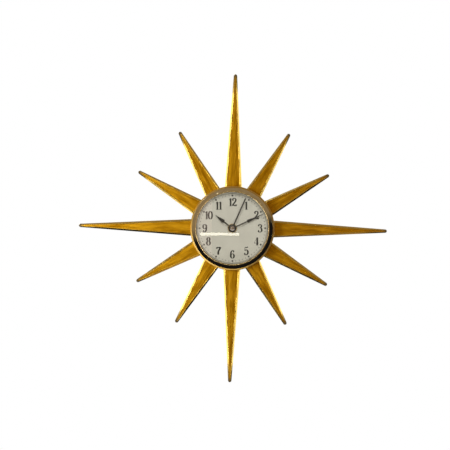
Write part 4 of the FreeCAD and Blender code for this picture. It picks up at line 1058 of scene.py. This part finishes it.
def makeHands():
    for node, shape, body in (("hour_hand", hourShape, "hour_hand_group"),
                              ("minute_hand", minuteShape, "minute_hand_group")):
        low, high = forwardSpan(node)
        mesh = flatMesh(node + "Mesh", spadeOutline(shape), bearing(node), low, high, shape["bevel"])
        addPiece(node.split("_")[0] + "SpadeHand", mesh, body, "hand_black", [node])
    high = forwardSpan("second_hand")[1]
    outline = secondOutline(radii("second_hand")[1])
    mesh = flatMesh("secondMesh", outline, bearing("second_hand"), high - secondShape["thickness"], high,
                    secondShape["bevel"])
    addPiece("sweepHand", mesh, "second_hand_group", "hand_black", ["second_hand"])
    back, front = forwardSpan("second_hand_cap")
    radius = radii("second_hand_cap")[1]
    depth = front - back
    mesh = turnedMesh("capMesh", [
        (nearAxis, back, 0),
        (radius, back, capShape["footRound"]),
        (radius, back + depth * capShape["sideUp"], capShape["sideRound"]),
        (radius * capShape["crownAcross"], back + depth * capShape["crownUp"], capShape["crownRound"]),
        (nearAxis, front, 0),
    ], segments=96)
    addPiece("sweepCap", mesh, "second_hand_group", "cap_chrome", ["second_hand_cap"])


makeHands()
print("hands made")


# fasteners

def latheTemplate(name, outline, segments=28):
    made = bmesh.new()
    rings = []
    for radius, forward in outline:
        turns = [2 * math.pi * n / segments for n in range(segments)] if radius > 1e-9 else [0]
        rings.append([made.verts.new((radius * math.sin(a), -forward, radius * math.cos(a)))
                      for a in turns])
    for first, second in zip(rings, rings[1:]):
        for n in range(segments):
            m = (n + 1) % segments
            corners = (first[n % len(first)], first[m % len(first)],
                       second[m % len(second)], second[n % len(second)])
            made.faces.new(list(dict.fromkeys(corners)))
    return toMesh(made, name)


# Cuts a cross recess into a head that faces backwards (+Y), whose face is at y = face.
def crossCut(mesh, face, cross):
    width, reach, depth = cross
    head = placeObject("head", mesh)
    cutters = []
    for across, up in ((reach, width), (width, reach)):
        made = bmesh.new()
        bmesh.ops.create_cube(made, size=2)
        bmesh.ops.scale(made, verts=made.verts, vec=(across, depth, up))
        bmesh.ops.translate(made, verts=made.verts, vec=(0, face, 0))
        cutter = placeObject("cutter", toMesh(made, "cutterMesh"))
        modifier = head.modifiers.new("recess", "BOOLEAN")
        modifier.operation = "DIFFERENCE"
        modifier.solver = "EXACT"
        modifier.object = cutter
        cutters.append(cutter)
    result = finishedMesh(head)
    for item in (head, *cutters):
        bpy.data.objects.remove(item)
    return result


def makeFastenerTree(name, template, slot):
    tree, given = startTree(name, {"Spin": 0.35}, withMesh=True)
    index = addNode(tree, "GeometryNodeInputIndex").outputs[0]
    spin = addNode(tree, "ShaderNodeCombineXYZ", Y=calc(tree, "MULTIPLY", given["Spin"], index)).outputs[0]
    turn = addNode(tree, "FunctionNodeEulerToRotation")
    tree.links.new(spin, turn.inputs[0])
    info = addNode(tree, "GeometryNodeObjectInfo", Object=template)
    stamped = addNode(tree, "GeometryNodeInstanceOnPoints", Points=given["Geometry"],
                      Instance=info.outputs["Geometry"], Rotation=turn.outputs[0])
    endTree(tree, stamped.outputs["Instances"], materials[slot])
    return tree


def placeFasteners(node, piece, mesh, slot, spin):
    template = placeObject(node + "Template", mesh)
    points = bpy.data.meshes.new(node + "Points")
    middles = [(low + high) / 2 for low, high in islands(node)]
    points.from_pydata([(m.x, 0, m.z) for m in middles], [], [])
    tree = makeFastenerTree(node + "Pattern", template, slot)
    grown = grownMesh(piece + "Mesh", tree, {"Spin": spin}, base=points)
    bpy.data.objects.remove(template)
    addPiece(piece, grown, "clock_case", slot, [node], sharp=32)


rivetShape = {"head": 0.0016, "shank": 0.0010, "rise": 0.0008, "spin": 0.7}
panShape = {
    "head": 0.0028, "shank": 0.0015, "edge": 0.0003, "side": 0.0005, "seat": 0.0025, "point": 0.0005,
    "cross": (0.00035, 0.0014, 0.0011),  # half width, reach and depth of the recess
    "spin": 0.9,
}
sunkShape = {
    "head": 0.0025, "shank": 0.0013, "edge": 0.0001, "taper": 0.0006, "point": 0.0003,
    "cross": (0.0003, 0.0013, 0.0009),
    "spin": 0.6,
}


def makeRivets():
    back, front = forwardSpan("ray_rivets")
    head, shank, rise = rivetShape["head"], rivetShape["shank"], rivetShape["rise"]
    dome = [(head * math.sin(math.radians(a)), back + rise * (1 - math.cos(math.radians(a))))
            for a in range(0, 91, 15)]
    mesh = latheTemplate("rivetTemplate", dome + [(shank, back + rise), (shank, front), (0, front)])
    placeFasteners("ray_rivets", "rayRivets", mesh, "rivet_brass", rivetShape["spin"])


def makePanScrews():
    back, front = forwardSpan("case_screws")
    head, shank, seat, point = [panShape[key] for key in ("head", "shank", "seat", "point")]
    face = back + panShape["edge"]
    pan = [(0, back), (head * 0.6, back), (head * 0.9, face), (head, face + panShape["side"]),
           (head, seat), (shank, seat), (shank, front - point), (shank * 0.7, front), (0, front)]
    mesh = crossCut(latheTemplate("panTemplate", pan), -back, panShape["cross"])
    placeFasteners("case_screws", "caseScrews", mesh, "screw_steel", panShape["spin"])


def makeSunkScrews():
    back, front = forwardSpan("hanger_screws")
    head, shank, edge = sunkShape["head"], sunkShape["shank"], sunkShape["edge"]
    sunk = [(0, back), (head - edge, back), (head, back + edge), (shank, back + head - shank),
            (shank, front - sunkShape["taper"]), (sunkShape["point"], front), (0, front)]
    mesh = crossCut(latheTemplate("sunkTemplate", sunk), -back, sunkShape["cross"])
    placeFasteners("hanger_screws", "hangerScrews", mesh, "screw_steel", sunkShape["spin"])

makeRivets()
makePanScrews()
makeSunkScrews()
print("fasteners placed")


# wall side and movement

edgeBevels = {
    "wall_spacer": 0.0003,
    "hub_plate": 0.0001,
    "hanger_plate": 0.0002,
    "movement_case": 0.0002,
    "movement_cover": 0.0003,
    "setting_knob": 0.00012,
}
for node, bevel in edgeBevels.items():
    first, second = node.split("_")
    body = "setting_knob_group" if node == "setting_knob" else "clock_case"
    addPiece(first + second.title(), refinedMesh(node, bevel), body, slotOf[node], [node])
batteryShape = {
    "crimp": 0.0009,
    "crimpDepth": 0.0003,
    "crimpRound": 0.0001,
    "edgeRound": 0.0004,
    "shoulderRound": 0.0002,
    "dish": 0.0004,        # how deep the plus end sinks around the nub
    "nub": 0.0010,
    "nubFoot": 0.0029,
    "nubTop": 0.0027,
    "nubRound": 0.0003,
}


def makeBattery():
    low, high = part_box("battery")
    middleY, middleZ = (low.y + high.y) / 2, (low.z + high.z) / 2
    radius, length = (high.z - low.z) / 2, high.x - low.x
    crimp, crimpDepth, crimpRound = [batteryShape[k] for k in ("crimp", "crimpDepth", "crimpRound")]
    shoulder = length - batteryShape["nub"]
    dish = shoulder - batteryShape["dish"]
    mesh = turnedMesh("batteryMesh", [
        (nearAxis, 0, 0),
        (radius - crimp, 0, 0),
        (radius - crimp * 0.6, crimpDepth, crimpRound),
        (radius, crimpDepth, batteryShape["edgeRound"]),
        (radius, shoulder, batteryShape["edgeRound"]),
        (radius - crimp, shoulder, batteryShape["shoulderRound"]),
        (radius - crimp * 1.4, dish, crimpRound),
        (batteryShape["nubFoot"], dish, batteryShape["shoulderRound"]),
        (batteryShape["nubTop"], length, batteryShape["nubRound"]),
        (nearAxis, length, 0),
    ], segments=96, steps=4)    # The lathe's axis is -Y, so it is laid along +X.
    mesh.transform(Matrix.Translation((low.x, middleY, middleZ)) @ Matrix.Rotation(math.pi / 2, 4, "Z"))
    addPiece("batteryCell", mesh, "clock_case", "battery_label", ["battery"])


makeBattery()
print("movement dressed")


# room

roomShape = {"floorDrop": 0.75, "floorSize": 6.0, "floorGlow": 0.5}


def makeFloor():
    half = roomShape["floorSize"] / 2
    made = bmesh.new()
    corners = [(-half, -half), (half, -half), (half, half), (-half, half)]
    made.faces.new([made.verts.new((x, y, -roomShape["floorDrop"])) for x, y in corners])
    mesh = toMesh(made, "floorMesh")
    material = makeFinish("paleFloor", (0.78, 0.78, 0.77), (0.82, 0.82, 0.81), 0.3, (0.8, 0.9))
    fill(material.node_tree, nodeOfType(material.node_tree, "BSDF_PRINCIPLED"),
         Emission_Color=(1, 1, 1, 1), Emission_Strength=roomShape["floorGlow"])
    mesh.materials.append(material)
    floor = placeObject("floor", mesh)
    floor.visible_glossy = False


# Soft boxes: the group of pieces that each lights (none: everything), where it stands, its width and
# height, its brightness and its colour.
lights = {
    "keyLeft": ("star", (-0.84, -1.15, 0.05), (0.60, 0.85), 6.6, (1.0, 0.97, 0.80)),
    "fillRight": ("star", (0.75, -1.1, 0.1), (0.5, 0.6), 0.9, (1.0, 0.50, 0.20)),
    "edgeLeft": ("star", (-1.45, -0.25, 0.08), (0.36, 1.7), 2.0, (1.0, 0.96, 0.86)),
    "edgeRight": ("star", (1.45, -0.25, 0.08), (0.36, 1.5), 1.8, (1.0, 0.96, 0.86)),
    "lowLeft": ("star", (-0.85, -0.28, -1.15), (0.6, 0.36), 1.8, (1.0, 0.95, 0.80)),
    "lowRight": ("star", (0.5, -0.30, -1.4), (1.6, 0.4), 0.5, (1.0, 0.72, 0.36)),
    "dialHigh": ("dial", (0.1, -1.7, 0.75), (1.7, 1.1), 3.9, (1.0, 0.98, 0.93)),
    "sparkle": (None, (-0.60, -0.50, 1.35), (0.05, 0.04), 40.0, (1.0, 1.0, 1.0)),
    "beadFront": ("case", (-0.50, -1.45, -0.45), (0.6, 0.5), 4.6, (1.0, 0.93, 0.75)),
    "beadLeft": ("case", (-1.4, 0.42, -0.45), (0.3, 0.9), 6.0, (1.0, 0.93, 0.75)),
    "beadRight": ("case", (1.4, 0.42, -0.05), (0.3, 0.6), 4.0, (1.0, 0.93, 0.75)),
    "behind": (None, (-1.0, 1.6, 0.9), (1.2, 0.9), 3.6, (1.0, 1.0, 1.0)),
}

litGroups = {
    "star": ["starRay"],
    "dial": ["dial", "minuteTrack", "sweepHand", "hourSpade", "minuteSpade"],
    "case": ["turnedBezel", "caseDrum"],
}


def gather(label):
    group = bpy.data.collections.new(label)
    for item in bpy.data.objects:
        if item.type == "MESH" and any(item.name.startswith(start) for start in litGroups[label]):
            group.objects.link(item)
    return group


def addLight(name, group, at, size, glow, colour, rotation):
    data = bpy.data.lights.new(name, "AREA")
    data.shape = "RECTANGLE"
    data.size, data.size_y = size
    data.energy = glow * math.pi * size[0] * size[1]
    data.color = colour
    lamp = placeObject(name, data)
    lamp.location = at
    lamp.rotation_euler = rotation
    lamp.visible_camera = False
    if group:
        lamp.light_linking.receiver_collection = groups[group]


groups = {label: gather(label) for label in litGroups}


def makeLights():
    for name, (group, at, *rest) in lights.items():
        addLight(name, group, at, *rest, (-Vector(at)).to_track_quat("-Z", "Y").to_euler())

# Two lights that are seen mirrored in the glass: each is given by the patch it covers there.
mirrored = {
    "windowBar": {"low": (-0.0432, -0.0097), "high": (0.0094, -0.0062), "glow": 6.5,
                  "colour": (1.0, 0.95, 0.78)},
    "curtain": {"low": (-0.0560, -0.0500), "high": (-0.0275, 0.0500), "glow": 0.9,
                "colour": (1.0, 0.74, 0.66)},
}
mirrorReach = 0.55  # how far in front of the glass they stand, as a share of the viewing distance


def makeMirroredLights():
    eye = bpy.context.scene.camera.location
    glass = -forwardSpan("glass")[1]

    def beyond(x, z):
        return Vector((x + (x - eye.x) * mirrorReach, glass + (eye.y - glass) * mirrorReach,
                       z + (z - eye.z) * mirrorReach))

    for name, patch in mirrored.items():
        low, high = beyond(*patch["low"]), beyond(*patch["high"])
        addLight(name, None, (low + high) / 2, (high.x - low.x, high.z - low.z), patch["glow"],
                 patch["colour"], (math.pi / 2, 0, 0))


skyTones = {
    "frontLeft": (0.32, 0.29, 0.20),
    "frontRight": (0.13, 0.065, 0.022),
    "sideHigh": (0.26, 0.21, 0.155),
    "sideLow": (0.008, 0.008, 0.011),
    "rear": (0.42, 0.40, 0.36),
}


# The backdrop is white where the camera sees it. What the clock reflects is a warm, uneven room.
def makeWorld():
    world = bpy.data.worlds.new("studio")
    bpy.context.scene.world = world
    world.use_nodes = True
    tree = world.node_tree
    tree.nodes.clear()
    way = addNode(tree, "ShaderNodeSeparateXYZ",
                  Vector=addNode(tree, "ShaderNodeTexCoord").outputs["Generated"]).outputs
    front = ramp(tree, span(tree, way["X"], 0, 1, -0.5, 0.5),
                 [(0.0, skyTones["frontLeft"]), (1.0, skyTones["frontRight"])])
    lean = calc(tree, "SUBTRACT", way["Z"], calc(tree, "MULTIPLY", way["X"], 0.25))
    side = ramp(tree, span(tree, lean, 0, 1, -0.12, 0.22),
                [(0.0, skyTones["sideLow"]), (1.0, skyTones["sideHigh"])])
    whole = mixed(tree, span(tree, way["Y"], 0, 1, -0.95, -0.86), front, side)
    whole = mixed(tree, span(tree, way["Y"], 0, 1, 0.3, 0.6), whole, (*skyTones["rear"], 1))
    room, white = [addNode(tree, "ShaderNodeBackground", Color=colour, Strength=1.0).outputs[0]
                   for colour in (whole, (1, 1, 1, 1))]
    seen = addNode(tree, "ShaderNodeLightPath").outputs["Is Camera Ray"]
    output = tree.nodes.new("ShaderNodeOutputWorld")
    fill(tree, output, Surface=mixedShader(tree, seen, room, white))


cameraPlan = {
    "distance": 2.4,
    "viewWidth": 0.6090,      # metres across the frame at the sunburst
    "sideways": math.radians(1.2),
    "upwards": math.radians(0.0),
    "sensor": 36,
    "dialAt": (0.0100, 0.0044),  # how far the dial's centre lies right of and below the line of sight
}


def makeCamera():
    data = bpy.data.cameras.new("viewer")
    camera = placeObject("viewer", data)
    turn, rise = cameraPlan["sideways"], cameraPlan["upwards"]
    back = Vector((math.sin(turn) * math.cos(rise), -math.cos(turn) * math.cos(rise), math.sin(rise)))
    rotation = back.to_track_quat("Z", "Y")
    right, up = rotation @ Vector((1, 0, 0)), rotation @ Vector((0, 1, 0))
    dialFront = Vector((0, -forwardSpan("dial")[1], 0))
    aim = dialFront - right * cameraPlan["dialAt"][0] + up * cameraPlan["dialAt"][1]
    camera.location = aim + back * cameraPlan["distance"]
    camera.rotation_euler = rotation.to_euler()
    data.sensor_width = cameraPlan["sensor"]
    data.lens = cameraPlan["sensor"] * cameraPlan["distance"] / cameraPlan["viewWidth"]
    data.clip_end = 50
    bpy.context.scene.camera = camera


makeFloor()
makeLights()
makeWorld()
makeCamera()
makeMirroredLights()
bpy.context.scene.view_settings.view_transform = "Standard"
print("room made")
